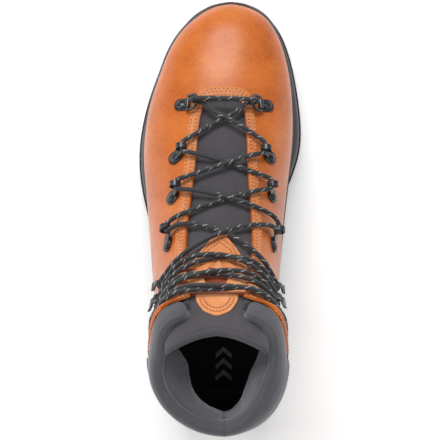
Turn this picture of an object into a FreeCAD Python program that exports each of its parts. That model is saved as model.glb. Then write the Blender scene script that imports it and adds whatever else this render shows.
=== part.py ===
# A left mountaineering boot, laced, men's EU 42.5: 308 mm long, about 117 mm wide.
# Row frame: +X medial (the boot's right), +Y to the toe, +Z up, the floor at z = 0. Millimetres.
import FreeCAD, Part
import math
import os

os.makedirs("parts", exist_ok=True)
V = FreeCAD.Vector

# ------------------------------------------------------------------ driving dimensions
LEATHER = 2.0            # upper leather
PUFF = (-3.4, -2.4)      # toe puff and heel stiffener, inside the leather
LINING = (-5.6, -3.9)    # padded lining, inside those
BOARD = (-4.5, -2.5)     # lasting board, under the foot
FOOTBED = (-9.0, -5.0)
RAND = (0.4, 2.15)       # rubber strip round the foot of the upper
OVERLAY = (0.3, 0.65)    # stitched-on leather bands
VAMP_END = 5.9           # station of the throat's front edge
BAND_END = 12.2          # station where the stitched bands beside the throat end
LACE_R = 1.65            # round braided lace, 3.3 mm
RING_WIRE = 1.0          # D-ring wire radius
RING_REACH = 10.0        # D-ring bar axis to bow centre line
RING_HALF = 5.2          # half width of the D-ring's centre line
RING_TILT = 24.0         # how far the laced ring stands off the leather, degrees
RING_AXIS_Z = 2.3        # ring axis above the leather
BIGHT = 3.4              # radius of the lace's turn round a D-ring bow


# ------------------------------------------------------------------ smooth curves through a few values
def spline(knots, flat_start=False):
    """A natural cubic through (position, value) knots, level at its start if flat_start."""
    xs = [float(k[0]) for k in knots]
    ys = [float(k[1]) for k in knots]
    n = len(xs)
    h = [xs[i + 1] - xs[i] for i in range(n - 1)]
    low, mid, up, rhs = [0.0] * n, [1.0] * n, [0.0] * n, [0.0] * n
    if flat_start:
        mid[0], up[0] = 2 * h[0], h[0]
        rhs[0] = 6 * (ys[1] - ys[0]) / h[0]
    for i in range(1, n - 1):
        low[i], mid[i], up[i] = h[i - 1], 2 * (h[i - 1] + h[i]), h[i]
        rhs[i] = 6 * ((ys[i + 1] - ys[i]) / h[i] - (ys[i] - ys[i - 1]) / h[i - 1])
    for i in range(1, n):
        w = low[i] / mid[i - 1]
        mid[i] -= w * up[i - 1]
        rhs[i] -= w * rhs[i - 1]
    m = [0.0] * n
    m[-1] = rhs[-1] / mid[-1]
    for i in range(n - 2, -1, -1):
        m[i] = (rhs[i] - up[i] * m[i + 1]) / mid[i]

    def value(x):
        i = 0
        while i < n - 2 and x > xs[i + 1]:
            i += 1
        t, b = x - xs[i], xs[i + 1] - x
        return (
            m[i] * b ** 3 / (6 * h[i]) + m[i + 1] * t ** 3 / (6 * h[i])
            + (ys[i] / h[i] - m[i] * h[i] / 6) * b + (ys[i + 1] / h[i] - m[i + 1] * h[i] / 6) * t
        )

    return value


def solve(f, low, high, steps=50):
    """Where the falling or rising f crosses zero."""
    rising = f(high) > f(low)
    for _ in range(steps):
        mid = (low + high) / 2
        if (f(mid) > 0) == rising:
            high = mid
        else:
            low = mid
    return (low + high) / 2


# ------------------------------------------------------------------ the boot's skin: sections along a bent tube
# Station 0 is the toe tip and 18 the collar rim. Each section's plane holds the line FRONT to BACK, in (y, z).
FRONT = [(149.3, 47), (147.3, 54), (141.5, 60), (131.5, 65), (117, 69.5), (99, 75), (79, 83), (57, 92),
         (36, 101), (15, 111), (-4, 121), (-20, 131), (-32, 141), (-40, 149.5), (-45.5, 157), (-49.5, 163),
         (-52.5, 168), (-55, 173), (-57.5, 178)]
BACK = [(149.3, 29), (147.3, 28.5), (141.5, 27.6), (131.5, 26.6), (117, 25.7), (99, 25.2), (79, 25), (57, 25),
        (35, 25.5), (6, 27), (-30, 29.5), (-75, 33), (-115, 36), (-142, 46), (-150.5, 68), (-149, 92),
        (-145, 115), (-143, 138), (-143.5, 160)]
MEDIAL = [7.5, 20, 30.5, 38.3, 44.5, 48.8, 50.7, 51, 49, 45.8, 43, 40.5, 39.2, 38.9, 39.4, 40.5, 42.2, 44, 46]
LATERAL = [7.5, -5, -15, -26, -35.5, -42.5, -49, -52.8, -53.3, -51, -48.5, -45.5, -43, -41.6, -41.6, -42.4,
           -44, -46.3, -48.5]
front_y = spline([(i, p[0]) for i, p in enumerate(FRONT)], True)
front_z = spline([(i, p[1]) for i, p in enumerate(FRONT)])
back_y = spline([(i, p[0]) for i, p in enumerate(BACK)], True)
back_z = spline([(i, p[1]) for i, p in enumerate(BACK)], True)
half_width = spline([(i, (a - b) / 2) for i, (a, b) in enumerate(zip(MEDIAL, LATERAL))])
middle_x = spline([(i, (a + b) / 2) for i, (a, b) in enumerate(zip(MEDIAL, LATERAL))], True)
ridge_x = spline([(0, 7.5), (2, 7), (4, 4.5), (6, 2.4), (9, 1), (12, -1), (15, -2), (18, -2)])
heel_x = spline([(0, 7.5), (3, 5.5), (6, 1.5), (9, -1.5), (12, 0), (15, 2), (18, 3.3)])
widest = spline([(0, 0.42), (4, 0.42), (6, 0.34), (8, 0.29), (10, 0.29), (11, 0.34), (12, 0.41), (13, 0.47),
                 (14, 0.51), (16, 0.55), (18, 0.58)])
round_front = spline([(0, 2.2), (4, 2.3), (6, 2.15), (8, 2.0), (10, 2.2), (11, 2.6), (12, 3.2), (13, 3.6),
                      (14, 3.8), (16, 3.8), (18, 3.6)])
round_back = spline([(0, 2.8), (4, 3), (9, 3), (12, 2.7), (13, 2.4), (14, 2.2), (16, 2.05), (18, 2.0)])


def skin(a, angle, lift=0.0):
    """The skin's point at station a, raised by lift.

    angle 0 is the top or the front, 90 the medial side, -90 the lateral one, 180 the sole or the back.
    """
    fy, fz, by, bz = front_y(a), front_z(a), back_y(a), back_z(a)
    length = math.hypot(fy - by, fz - bz)
    uy, uz = (fy - by) / length, (fz - bz) / length
    toe = lift * max(0.0, 1 - a / 5.0) ** 2
    fy, fz, by, bz = fy + uy * lift + toe, fz + uz * lift, by - uy * lift + toe, bz - uz * lift
    share, width = widest(a), half_width(a)
    width = max(width + lift * min(1.0, width / 12.0), 0.15)
    if angle > 180:
        angle -= 360
    side = 1 if angle >= 0 else -1
    turn = math.radians(90 - abs(angle))
    c, v = abs(math.cos(turn)), math.sin(turn)
    e = round_front(a) if v >= 0 else round_back(a)
    r = (c ** e + abs(v) ** e) ** (-1 / e)
    out, up = r * c, r * v
    t = share + (1 - share) * up if v >= 0 else share * (1 + up)
    centre = middle_x(a) + ((ridge_x(a) if v >= 0 else heel_x(a)) - middle_x(a)) * up * up
    return V(centre + side * width * out, by + t * (fy - by), bz + t * (fz - bz))


ground = spline([(0, 29), (2, 27.6), (4, 25.7), (6, 25), (8, 25.5), (9, 27), (10, 29.5), (11, 33), (12, 36),
                 (13, 37.2), (14, 38), (18, 41)])


def angle_at_height(a, z):
    """The medial angle where station a's section is at height z."""
    return solve(lambda g: skin(a, g).z - z, 0.0, 180.0)


def angle_at_width(a, x):
    """The angle, on x's side, where the top of station a's section is x from the ridge."""
    side = 1 if x >= 0 else -1
    return side * solve(lambda g: abs(skin(a, side * g).x - ridge_x(a)) - abs(x), 0.0, 89.0)


def rim_station(h):
    """The station whose back point is h above the ground line."""
    return solve(lambda a: back_z(a) - ground(a) - h, 12.0, 18.0)


def waist(t, h):
    """(station, angle) on the line h above the sole: t 0 at the toe, 0.5 at the heel's back, 1 at the toe."""
    way = min(2 * t, 2 - 2 * t)
    a = rim_station(h) * (1 - math.cos(math.pi * way)) / 2
    angle = 180.0 if way > 1 - 1e-9 else angle_at_height(a, ground(a) + h)
    return (a, angle if t <= 0.5 else 360 - angle)


# ------------------------------------------------------------------ panels lying on the skin
def surface(domain, lift, skin_of, nu, nv):
    """A B-spline surface through the domain's grid, raised by lift."""
    rows = []
    for i in range(nu + 1):
        row = []
        for j in range(nv + 1):
            a, angle = domain(i / nu, j / nv)
            row.append(skin_of(a, angle, lift(angle) if callable(lift) else lift))
        rows.append(row)
    face = Part.BSplineSurface()
    face.interpolate(rows)
    return face


def panel(domain, lifts, skin_of=skin, nu=20, nv=12):
    """A closed sheet over domain(u, v) -> (station, angle), between two lifts."""
    low = surface(domain, lifts[0], skin_of, nu, nv)
    high = surface(domain, lifts[1], skin_of, nu, nv)
    faces = [low.toShape(), high.toShape()]
    u0, u1, v0, v1 = low.bounds()
    p0, p1, q0, q1 = high.bounds()
    for lower, upper in ((low.uIso(u0), high.uIso(p0)), (low.uIso(u1), high.uIso(p1)),
                         (low.vIso(v0), high.vIso(q0)), (low.vIso(v1), high.vIso(q1))):
        faces.append(Part.makeRuledSurface(lower.toShape(), upper.toShape()))
    shell = Part.Shell(faces)
    shell.sewShape()
    solid = Part.Solid(shell)
    if solid.Volume < 0:
        solid.reverse()
    return solid


def coons(left, right, bottom, top):
    """The blend of four border curves: left(v), right(v), bottom(u), top(u), each -> (station, angle)."""
    corners = [bottom(0.0), bottom(1.0), top(0.0), top(1.0)]

    def at(u, v):
        l, r, b, t = left(v), right(v), bottom(u), top(u)
        return tuple(
            (1 - u) * l[k] + u * r[k] + (1 - v) * b[k] + v * t[k]
            - (1 - u) * (1 - v) * corners[0][k] - u * (1 - v) * corners[1][k]
            - (1 - u) * v * corners[2][k] - u * v * corners[3][k]
            for k in (0, 1)
        )

    return at


def across(domain, side):
    """The domain mirrored to the lateral side for side -1."""
    def at(u, v):
        a, angle = domain(u, v)
        return (a, side * angle)

    return at


def mix(p, q, t):
    return p + (q - p) * t


throat_half = spline([(5.9, 12), (6.3, 14.6), (7, 16.6), (8, 17.6), (9, 19.4), (10, 21.4), (11, 22), (12, 21.4),
                      (14, 19.2), (16, 17.4), (18, 16.2)])
collar_line = spline([(10, 14.9), (24, 15.25), (40, 15.9), (60, 16.45), (80, 16.7), (110, 16.8), (180, 16.8)])
tongue_half = spline([(5.6, 19), (7, 23), (9, 26), (11, 27.5), (14, 27), (16, 29.5), (18, 33.5), (20, 33)])


def throat(a, more=0.0):
    """(station, angle) on the throat's edge, or more millimetres outside it."""
    return (a, angle_at_width(a, throat_half(a) + more))


THROAT_TOP = 15.2
throat_top_angle = throat(THROAT_TOP)[1]
edge_a = spline([(0, THROAT_TOP), (0.18, 16.0), (0.36, 16.5), (0.55, 16.55), (0.72, 15.6), (0.86, 13.9), (1, 12.3)])
edge_angle = spline([(0, throat_top_angle), (0.18, 44), (0.36, 74), (0.55, 107), (0.72, 126), (0.86, 136),
                     (1, angle_at_height(12.3, ground(12.3) + 0.8))])
FRONT_LINE = VAMP_END + 0.02


def vamp_domain(u, v):
    a = VAMP_END * u
    return (a, mix(-1, 1, v) * angle_at_height(a, ground(a) + 0.8))


def side_border(end, h):
    """The border along the sole from the vamp's end to station end, h above the ground line."""
    def at(u):
        a = mix(FRONT_LINE, end, u)
        return (a, angle_at_height(a, ground(a) + h))

    return at


def front_border(more, h):
    """The border down the vamp's rear edge, from the throat to the sole."""
    low = throat(FRONT_LINE, more)[1]
    high = angle_at_height(FRONT_LINE, ground(FRONT_LINE) + h)
    return lambda v: (FRONT_LINE, mix(low, high, v))


quarter_domain = coons(front_border(0, 0.8), lambda v: (edge_a(v), edge_angle(v)),
                       lambda u: throat(mix(FRONT_LINE, THROAT_TOP, u)), side_border(12.3, 0.8))


def heel_domain(u, v):
    """Behind the quarters: u from the medial to the lateral side, v 0 at the collar and 1 at the sole."""
    way = 0.55 + 0.45 * v
    middle = mix(16.75, rim_station(0.8), v)
    bulge = math.sin(math.pi * u)
    side_angle = edge_angle(way) + 0.3
    return (mix(edge_a(way), middle, bulge), mix(side_angle, 360 - side_angle, u))


def counter_domain(u, v):
    """The leather heel cover: v 0 along its upper edge, 1 along the rand."""
    foot = rim_station(16.5)
    bulge = math.sin(math.pi * u) ** 0.8 if 0 < u < 1 else 0.0
    top_a, foot_a = mix(13.6, 15.3, bulge), mix(12.0, foot, bulge)
    start = mix(122, angle_at_height(12.0, ground(12.0) + 16.5), v)
    return (mix(top_a, foot_a, v), mix(start, 360 - start, u))


def collar_domain(u, v):
    angle = mix(throat_top_angle + 2.0, 179.3, u)
    low = collar_line(angle) + 0.05
    round_tip = 1 - 0.55 * math.exp(-u / 0.035)
    high = mix(low, 18.25, round_tip)
    return (mix(low, high, v), angle)


def lining_edge(v):
    low, high = edge_angle(v), edge_angle(1.0)
    foot = angle_at_height(12.3, ground(12.3) + 7.5)
    start = throat(THROAT_TOP, 13.0)[1]
    if v < 0.36:
        return (edge_a(v), mix(start, edge_angle(0.36), v / 0.36))
    return (edge_a(v), low + (foot - high) * max(0.0, (v - 0.72) / 0.28) ** 1.5)


lining_domain = coons(front_border(9.0, 7.5), lining_edge,
                      lambda u: throat(mix(FRONT_LINE, THROAT_TOP, u), mix(9.0, 13.0, u)), side_border(12.3, 7.5))


def heel_lining_domain(u, v):
    middle = mix(16.75, rim_station(7.5), v)
    side_a, side_angle = lining_edge(0.5 + 0.5 * v)
    bulge = math.sin(math.pi * u)
    return (mix(side_a, middle, bulge), mix(side_angle + 0.4, 359.6 - side_angle, u))


def sole_domain(start, end, h):
    """A bottom layer that rises h up both sides."""
    def at(u, v):
        a = mix(start, end, u)
        g = angle_at_height(a, ground(a) + h)
        return (a, mix(g, 360 - g, v))

    return at


def top_domain(start, end, half_start, half_end, power=1.0):
    """A sheet across the top of the toe, in degrees either side of the ridge."""
    return lambda u, v: (mix(start, end, u), mix(-1, 1, v) * mix(half_start, half_end, u ** power))


def heel_stiffener_domain(u, v):
    bulge = math.sin(math.pi * u) ** 0.7 if 0 < u < 1 else 0.0
    a = mix(mix(12.6, 15.0, bulge), mix(11.9, rim_station(4.0), bulge), v)
    start = mix(116, 128, v)
    return (a, mix(start, 360 - start, u))


def rand_domain(u, v):
    toe = math.cos(math.pi * u) ** 2
    return waist(u, mix(1.5, 13.0 + 1.0 * toe, v))


def band_domain(u, v):
    """The stitched band along one side of the throat."""
    a = mix(FRONT_LINE + 0.02, BAND_END, u)
    return throat(a, mix(0.4, 6.2, v))


def band_front_domain(u, v):
    """The stitched band round the front of the throat."""
    a = mix(FRONT_LINE - 0.42 + 0.25 * abs(2 * v - 1) ** 3, FRONT_LINE - 0.05, u)
    return (a, angle_at_width(a, mix(-1, 1, v) * (throat_half(5.9) + 6.0) + 1e-6))


def make_upper():
    """The leather shell with its stiffeners, lining, rubber rand and padded collar."""
    parts = {
        "vamp": panel(vamp_domain, (-LEATHER, 0), nu=20, nv=44),
        "heel_textile_panel": panel(heel_domain, (-LEATHER, 0), nu=32, nv=22),
        "heel_counter_leather": panel(counter_domain, (0.5, 1.4), nu=32, nv=14),
        "toe_puff": panel(top_domain(0.5, 3.2, 80, 66), PUFF, nu=10, nv=16),
        "vamp_lining": panel(top_domain(0.9, 5.5, 92, 100), LINING, nu=14, nv=26),
        "heel_stiffener": panel(heel_stiffener_domain, PUFF, nu=32, nv=14),
        "lining_heel": panel(heel_lining_domain, LINING, nu=32, nv=20),
        "lasting_board": panel(sole_domain(0.9, 12.5, 2.5), BOARD, nu=22, nv=22),
        "footbed": panel(sole_domain(1.3, 12.4, 6.3), FOOTBED, nu=22, nv=26),
        "rubber_rand": panel(rand_domain, RAND, nu=128, nv=12),
        "throat_band_front": panel(band_front_domain, OVERLAY, nu=4, nv=14),
    }
    for name, side in (("medial", 1), ("lateral", -1)):
        parts["quarter_" + name] = panel(across(quarter_domain, side), (-LEATHER, 0), nu=34, nv=30)
        parts["lining_" + name] = panel(across(lining_domain, side), LINING, nu=30, nv=24)
        parts["throat_band_" + name] = panel(across(band_domain, side), OVERLAY, nu=26, nv=4)
        collar = panel(across(collar_domain, side), (-6.4, 1.2), nu=30, nv=6)
        parts["collar_pad_" + name] = collar
    return parts


# ------------------------------------------------------------------ the tongue: its own tube, leaning back at the top
T_FRONT = FRONT[:14] + [(-46.7, 156.1), (-52.2, 161.6), (-57.6, 167.2), (-63.4, 172.8), (-70.4, 178.6),
                        (-78.8, 183.3), (-87.5, 186.2)]
T_BACK = BACK[:14] + [(-149, 67), (-146, 80), (-141, 92), (-130, 91), (-120, 90), (-113, 91), (-112, 90)]
t_front_y = spline([(i, p[0]) for i, p in enumerate(T_FRONT)], True)
t_front_z = spline([(i, p[1]) for i, p in enumerate(T_FRONT)])
t_back_y = spline([(i, p[0]) for i, p in enumerate(T_BACK)], True)
t_back_z = spline([(i, p[1]) for i, p in enumerate(T_BACK)], True)
t_width = spline([(0, 0), (5, 45.6), (8, 51.2), (10, 45.8), (12, 41.1), (14, 40.4), (15, 40.2), (16, 40), (18, 39.5), (20, 39)])


def tongue_skin(a, x, lift=0.0):
    """The tongue's surface at station a, x millimetres medial of its middle."""
    fy, fz, by, bz = t_front_y(a), t_front_z(a), t_back_y(a), t_back_z(a)
    length = math.hypot(fy - by, fz - bz)
    uy, uz = (fy - by) / length, (fz - bz) / length
    width = t_width(a)
    e = round_front(min(a, 18))
    drop = 1 - (1 - min(0.999, abs(x) / width) ** e) ** (1 / e)
    share = widest(min(a, 18))
    t = 1 + lift / length - (1 - share) * drop * (1 + lift / length)
    lean = x * (1 + lift / width * 0.6)
    return V(ridge_x(min(a, 18)) + lean, by + t * (fy - by), bz + t * (fz - bz))


def tongue_domain(start, end, half, n_tip=0.0):
    """A sheet lying along the tongue with the half width half(station)."""
    return lambda u, v: (mix(start, end, u), mix(-1, 1, v) * half(mix(start, end, u)))


def make_tongue():
    shield_half = spline([(10.3, 1.2), (10.6, 5.4), (11, 10.6), (11.5, 15.8), (11.95, 20)])
    patch_half = spline([(14.6, 14), (15.4, 13.2), (16.1, 10.6), (16.6, 7), (16.85, 3)])
    return {
        "tongue_pad": panel(tongue_domain(5.6, 20, tongue_half), (-8.0, -3.1), tongue_skin, nu=30, nv=12),
        "tongue_shield": panel(tongue_domain(10.3, 11.95, shield_half), (-2.9, -2.1), tongue_skin, nu=10, nv=8),
        "tongue_flex_panel": panel(tongue_domain(12.0, 14.55, lambda a: 19.5), (-2.9, -2.2), tongue_skin, nu=12, nv=10),
        "tongue_top_patch": panel(tongue_domain(14.6, 16.85, patch_half), (-2.9, -2.1), tongue_skin, nu=10, nv=8),
    }


# ------------------------------------------------------------------ the sole
OUTLINE = [(7.5, 154), (27, 149), (42, 134), (51.5, 110), (57, 80), (57.5, 48), (49, 21), (40.5, -4), (37.5, -40),
           (39.5, -85), (39, -122), (27, -146), (2, -154), (-24, -147), (-39, -122), (-42.5, -85), (-44, -40),
           (-51, -4), (-57.5, 28), (-57.5, 55), (-50, 88), (-35.5, 122), (-17.5, 145.5)]
HEEL_TREAD = [(-157, 5.0), (-153, 2.4), (-148, 0.7), (-142, 0)]
TOE_TREAD = [(82, 0), (100, 0.7), (120, 2.6), (140, 5.9), (157, 9.8)]
OUTSOLE_TOP = [(-157, 12.5), (-100, 11.5), (-40, 10), (20, 8.3), (70, 8), (110, 9.6), (140, 13.6), (157, 17.5)]
CUP = 5.0                # the midsole's rim, above the foot of the upper
sole_middle = spline([(-154, 2), (-120, 0), (-80, -1.5), (-40, -3), (0, -5), (40, -1), (80, 2), (120, 6), (154, 7.5)])
sole_half = spline([(-154, 8), (-146, 27), (-122, 39), (-85, 41), (-40, 40.7), (0, 46), (40, 57), (60, 57.3), (85, 54),
                    (120, 41), (145, 22), (154, 8)])


def outline_prism(inset=0.0):
    """The sole's plan outline, drawn in by inset, as a tall prism."""
    curve = Part.BSplineCurve()
    middle = V(0, 0, 0)
    points = []
    for i, (x, y) in enumerate(OUTLINE):
        before, after = OUTLINE[i - 1], OUTLINE[(i + 1) % len(OUTLINE)]
        along = V(after[0] - before[0], after[1] - before[1], 0).normalize()
        points.append(V(x, y, -5) + V(along.y, -along.x, 0) * inset)
    curve.interpolate(points, PeriodicFlag=True)
    return Part.Face(Part.Wire(curve.toShape())).extrude(V(0, 0, 70))


def profile_edge(points, half):
    curve = Part.BSplineCurve()
    curve.interpolate([V(-half, y, z) for y, z in points])
    return curve.toShape()


def side_prism(low, high, half=80.0):
    """Everything between two lines of curves drawn in the (y, z) plane, across the whole width."""
    edges = []
    for pieces in (low, high):
        for i, points in enumerate(pieces):
            edges.append(profile_edge(points, half))
            if i + 1 < len(pieces):
                edges.append(Part.LineSegment(V(-half, *points[-1]), V(-half, *pieces[i + 1][0])).toShape())
    edges.append(Part.LineSegment(V(-half, *low[-1][-1]), V(-half, *high[-1][-1])).toShape())
    edges.append(Part.LineSegment(V(-half, *low[0][0]), V(-half, *high[0][0])).toShape())
    wire = Part.Wire(Part.__sortEdges__(edges))
    return Part.Face(wire).extrude(V(2 * half, 0, 0))


def shifted(points, dz):
    return [(y, z + dz) for y, z in points]


def slot(x, y, length, width, turn):
    """A channel of the tread, as a tall box about (x, y)."""
    box = Part.makeBox(length, width, 40, V(-length / 2, -width / 2, -10))
    box.rotate(V(0, 0, 0), V(0, 0, 1), turn)
    box.translate(V(x, y, 0))
    return box


def trough_domain(u, v):
    return (mix(0.0, 14.6, u), mix(94, 266, v))


def trough_lift(angle):
    """The midsole's clearance from the upper: thin under the foot, past the rand at the sides."""
    t = min(1.0, max(0.0, (178 - abs(angle - 360 if angle > 180 else angle)) / 30.0))
    return 0.25 + 2.5 * t * t * (3 - 2 * t)


def make_sole():
    """Outsole with its lugs, midsole with the shank's pocket, and the shank."""
    tread = [HEEL_TREAD, TOE_TREAD]
    channels = []
    for y in range(-137, -60, 16):
        for side in (-1, 1):
            channels.append(slot(sole_middle(y) + side * (sole_half(y) + 1), y, 46, 5.5, side * 14))
    for y in range(12, 146, 15):
        for side in (-1, 1):
            reach = 0.92 * sole_half(y) + 2
            channels.append(slot(sole_middle(y) + side * reach, y, 1.15 * reach, 5.5, side * 16))
    for y in range(19, 128, 15):
        channels.append(slot(sole_middle(y), y, 0.9 * sole_half(y), 4.5, 0))
        for side in (-1, 1):
            channels.append(slot(sole_middle(y) + side * 0.45 * sole_half(y), y - 4, 4.5, 11, -side * 12))
    for y in range(-129, -70, 16):
        channels.append(slot(sole_middle(y), y, 26, 4.5, 0))
        for side in (-1, 1):
            channels.append(slot(sole_middle(y) + side * 13, y - 4, 4.5, 11, side * 12))
    channels.append(slot(-4, -32, 140, 44, 0))
    lifted = [shifted(points, 4.5) for points in tread]
    sunk = [shifted(points, -2) for points in tread]
    layer = side_prism(sunk, lifted)
    outsole = outline_prism().common(side_prism(tread, [OUTSOLE_TOP]))
    cut = channels[0].multiFuse(channels[1:]).common(layer)
    outsole = outsole.cut(cut)
    steps = [12, 11, 10, 9, 8, 7, 6, 5, 4, 3, 2]
    rim = [(-158, 43.5), (-140, 42.4)] + [(back_y(k), back_z(k) + CUP) for k in steps] + [(158, 35.5)]
    trough = panel(trough_domain, (-13.0, trough_lift), nu=40, nv=44)
    midsole = outline_prism(1.2).common(side_prism([OUTSOLE_TOP], [rim])).cut(trough)
    midsole = max(midsole.Solids, key=lambda solid: solid.Volume)
    foot = [(back_y(k), back_z(k) - 1.2) for k in (12, 11.5, 11, 10.5, 10, 9.5, 9)]
    shank = side_prism([shifted(foot, -1.6)], [foot], 11.0)
    longer = [(foot[0][0] - 2, foot[0][1] + 0.1)] + foot[1:-1] + [(foot[-1][0] + 2, foot[-1][1] - 0.1)]
    pocket = side_prism([shifted(longer, -1.8)], [shifted(longer, 4.0)], 11.3)
    return {"outsole": outsole, "midsole": midsole.cut(pocket), "shank": shank}


# ------------------------------------------------------------------ hardware, placed square to the skin
def unit(v):
    return v * (1 / v.Length)


def locate(x, y, a, angle):
    """The (station, angle) whose skin point is at (x, y), by Newton steps from a first guess."""
    for _ in range(30):
        p = skin(a, angle)
        pa, pg = skin(a + 0.01, angle) - p, skin(a, angle + 0.1) - p
        ax, ay, gx, gy = pa.x / 0.01, pa.y / 0.01, pg.x / 0.1, pg.y / 0.1
        det = ax * gy - gx * ay
        ex, ey = x - p.x, y - p.y
        a += max(-1.0, min(1.0, (ex * gy - gx * ey) / det))
        angle += max(-15.0, min(15.0, (ax * ey - ex * ay) / det))
    return a, angle


def seat(a, angle, turn=0.0, lift=0.0):
    """Axes on the skin: ex inward turned toe-ward by turn degrees, ey, and the outward normal."""
    p = skin(a, angle, lift)
    da = skin(a + 0.05, angle, lift) - skin(a - 0.05, angle, lift)
    dg = skin(a, angle + 0.5, lift) - skin(a, angle - 0.5, lift)
    side = 1 if angle > 0 else -1
    normal = unit(da.cross(dg))
    if normal.dot(p - V(0, back_y(a), (front_z(a) + back_z(a)) / 2)) < 0 and normal.z < 0.2:
        normal = normal * -1
    if normal.z < 0:
        normal = normal * -1
    inward = unit(dg * -side)
    toeward = unit(da * -1)
    toeward = unit(toeward - inward * toeward.dot(inward))
    t = math.radians(turn)
    ex = inward * math.cos(t) + toeward * math.sin(t)
    return p, ex, normal.cross(ex), normal


def placed(shape, origin, ex, ey, ez):
    """The shape moved from its own axes to these ones."""
    m = FreeCAD.Matrix(ex.x, ey.x, ez.x, origin.x, ex.y, ey.y, ez.y, origin.y, ex.z, ey.z, ez.z, origin.z, 0, 0, 0, 1)
    moved = shape.copy()
    moved.Placement = FreeCAD.Placement(m)
    return moved


def stadium(x0, x1, width, thick, z=0.0):
    """A plate with two round ends."""
    r = width / 2
    body = Part.makeBox(x1 - x0 - width, width, thick, V(x0 + r, -r, z))
    ends = [Part.makeCylinder(r, thick, V(x, 0, z)) for x in (x0 + r, x1 - r)]
    return body.fuse(ends).removeSplitter()


def rivet(x, y, z, plate, r_head=3.0, r_shank=1.4):
    """A rivet: a domed head above a plate, and its shank down through the plate."""
    dome = Part.makeSphere(6.0, V(x, y, z + plate + 1.3 - 6.0))
    head = Part.makeCylinder(r_head, 3, V(x, y, z + plate + 0.03)).common(dome)
    return head.fuse(Part.makeCylinder(r_shank, plate + 0.1, V(x, y, z)))


def tube_along_y(r_out, r_in, width, x, z):
    """A short tube whose axis is the local Y."""
    outer = Part.makeCylinder(r_out, width, V(x, -width / 2, z), V(0, 1, 0))
    return outer.cut(Part.makeCylinder(r_in, width + 2, V(x, -width / 2 - 1, z), V(0, 1, 0)))


def make_clip():
    """A D-ring clip: a riveted plate rolled round the ring's bar at x = CLIP_BAR."""
    plate = stadium(-4.5, CLIP_BAR + 3.0, 8.4, 1.0, 0.3).cut(Part.makeCylinder(1.5, 4, V(0, 0, -1)))
    plate = plate.cut(Part.makeBox(8, 12, 4, V(CLIP_BAR - 0.8, -6, -1)))
    knuckle = tube_along_y(RING_WIRE + 0.95, RING_WIRE + 0.05, 6.4, CLIP_BAR, RING_AXIS_Z)
    pin = Part.makeCylinder(RING_WIRE + 0.05, 12, V(CLIP_BAR, -6, RING_AXIS_Z), V(0, 1, 0))
    return plate.fuse(knuckle).cut(pin)


def make_ring():
    """A D-ring about its bar, which lies on the local Y axis; the bow reaches along +X."""
    w, k = RING_WIRE, RING_HALF
    bow_x = RING_REACH - k
    bar = Part.makeCylinder(w, 2 * k, V(0, -k, 0), V(0, 1, 0))
    arms = [Part.makeCylinder(w, bow_x, V(0, s * k, 0), V(1, 0, 0)) for s in (-1, 1)]
    corners = [Part.makeSphere(w, V(0, s * k, 0)) for s in (-1, 1)]
    bow = Part.makeTorus(k, w, V(bow_x, 0, 0), V(0, 0, 1))
    bow = bow.common(Part.makeBox(20, 20, 6, V(bow_x, -10, -3)))
    return bar.fuse(arms + corners + [bow])


def make_loop(eye_turn):
    """A lace loop: a riveted plate, a neck and a short eye tube turned by eye_turn."""
    plate = stadium(-4.4, 7.0, 8.6, 1.0, 0.3).cut(Part.makeCylinder(1.5, 4, V(0, 0, -1)))
    neck = Part.makeBox(6.6, 5.0, 1.0, V(3.5, -2.5, 1.2))
    neck.rotate(V(3.5, 0, 1.2), V(0, 1, 0), -14)
    outer = Part.makeCylinder(3.9, 3.6, V(0, -1.8, 0), V(0, 1, 0))
    hole = Part.makeCylinder(2.8, 8, V(0, -4, 0), V(0, 1, 0))
    for part in (outer, hole):
        part.rotate(V(0, 0, 0), V(0, 0, 1), eye_turn)
        part.translate(V(LOOP_X, 0, LOOP_Z))
    return plate.fuse([neck, outer]).cut(hole).cut(Part.makeCylinder(1.5, 4, V(0, 0, -1)))


def make_hook():
    """A lace hook: a riveted base, a fold on the throat side and a lip over the lace."""
    base = stadium(-7.5, 4.0, 8.0, 1.0, 0.3)
    base = base.cut(Part.makeBox(6, 12, 4, V(2.6, -6, -1)))
    profile = [V(1.5, -3.2, 0.3), V(3.4, -3.2, 0.3), V(4.9, -3.2, 1.6), V(5.3, -3.2, 3.8), V(4.6, -3.2, 5.8),
               V(2.8, -3.2, 6.9), V(-1.6, -3.2, 6.7), V(-3.6, -3.2, 7.6), V(-4.0, -3.2, 6.8), V(-1.8, -3.2, 5.6),
               V(2.4, -3.2, 5.8), V(3.7, -3.2, 5.1), V(4.2, -3.2, 3.6), V(3.9, -3.2, 2.1), V(3.0, -3.2, 1.3),
               V(1.5, -3.2, 1.3)]
    horn = Part.Face(Part.makePolygon(profile + [profile[0]])).extrude(V(0, 6.4, 0))
    waist_cut = Part.makeCylinder(9.0, 20, V(3.8, -10.5, -5))
    other_cut = Part.makeCylinder(9.0, 20, V(3.8, 10.5, -5))
    return base.fuse(horn.cut(waist_cut).cut(other_cut)).cut(Part.makeCylinder(1.5, 3, V(-4, 0, -1)))


CLIP_BAR = 6.3   # the ring's bar from the clip's rivet
LOOP_X, LOOP_Z = 10.8, 5.9
HOOK_X, HOOK_Z = 0.6, 3.5

# rivet (x, y) and the plate's turn toe-ward, from the toe up, then the hooks' (station, x from the ridge)
CLIPS = {"medial": (32.5, 76.0, 4.0), "lateral": (-27.0, 76.5, 4.0)}
LOOPS = {"medial": [(34.5, 40.0, 31), (35.6, 13.5, 41), (36.3, -20.5, 66)],
         "lateral": [(-31.0, 39.5, 38), (-32.6, 12.0, 46), (-35.2, -20.0, 64)]}
HOOKS = [(12.15, 36.2, -6), (13.15, 36.6, -4), (14.4, 36.8, 0)]
CROSSINGS = [6.66, 8.05, 9.22, 10.3, 11.5, 12.75, 14.85]   # stations where the lace crosses itself


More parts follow.
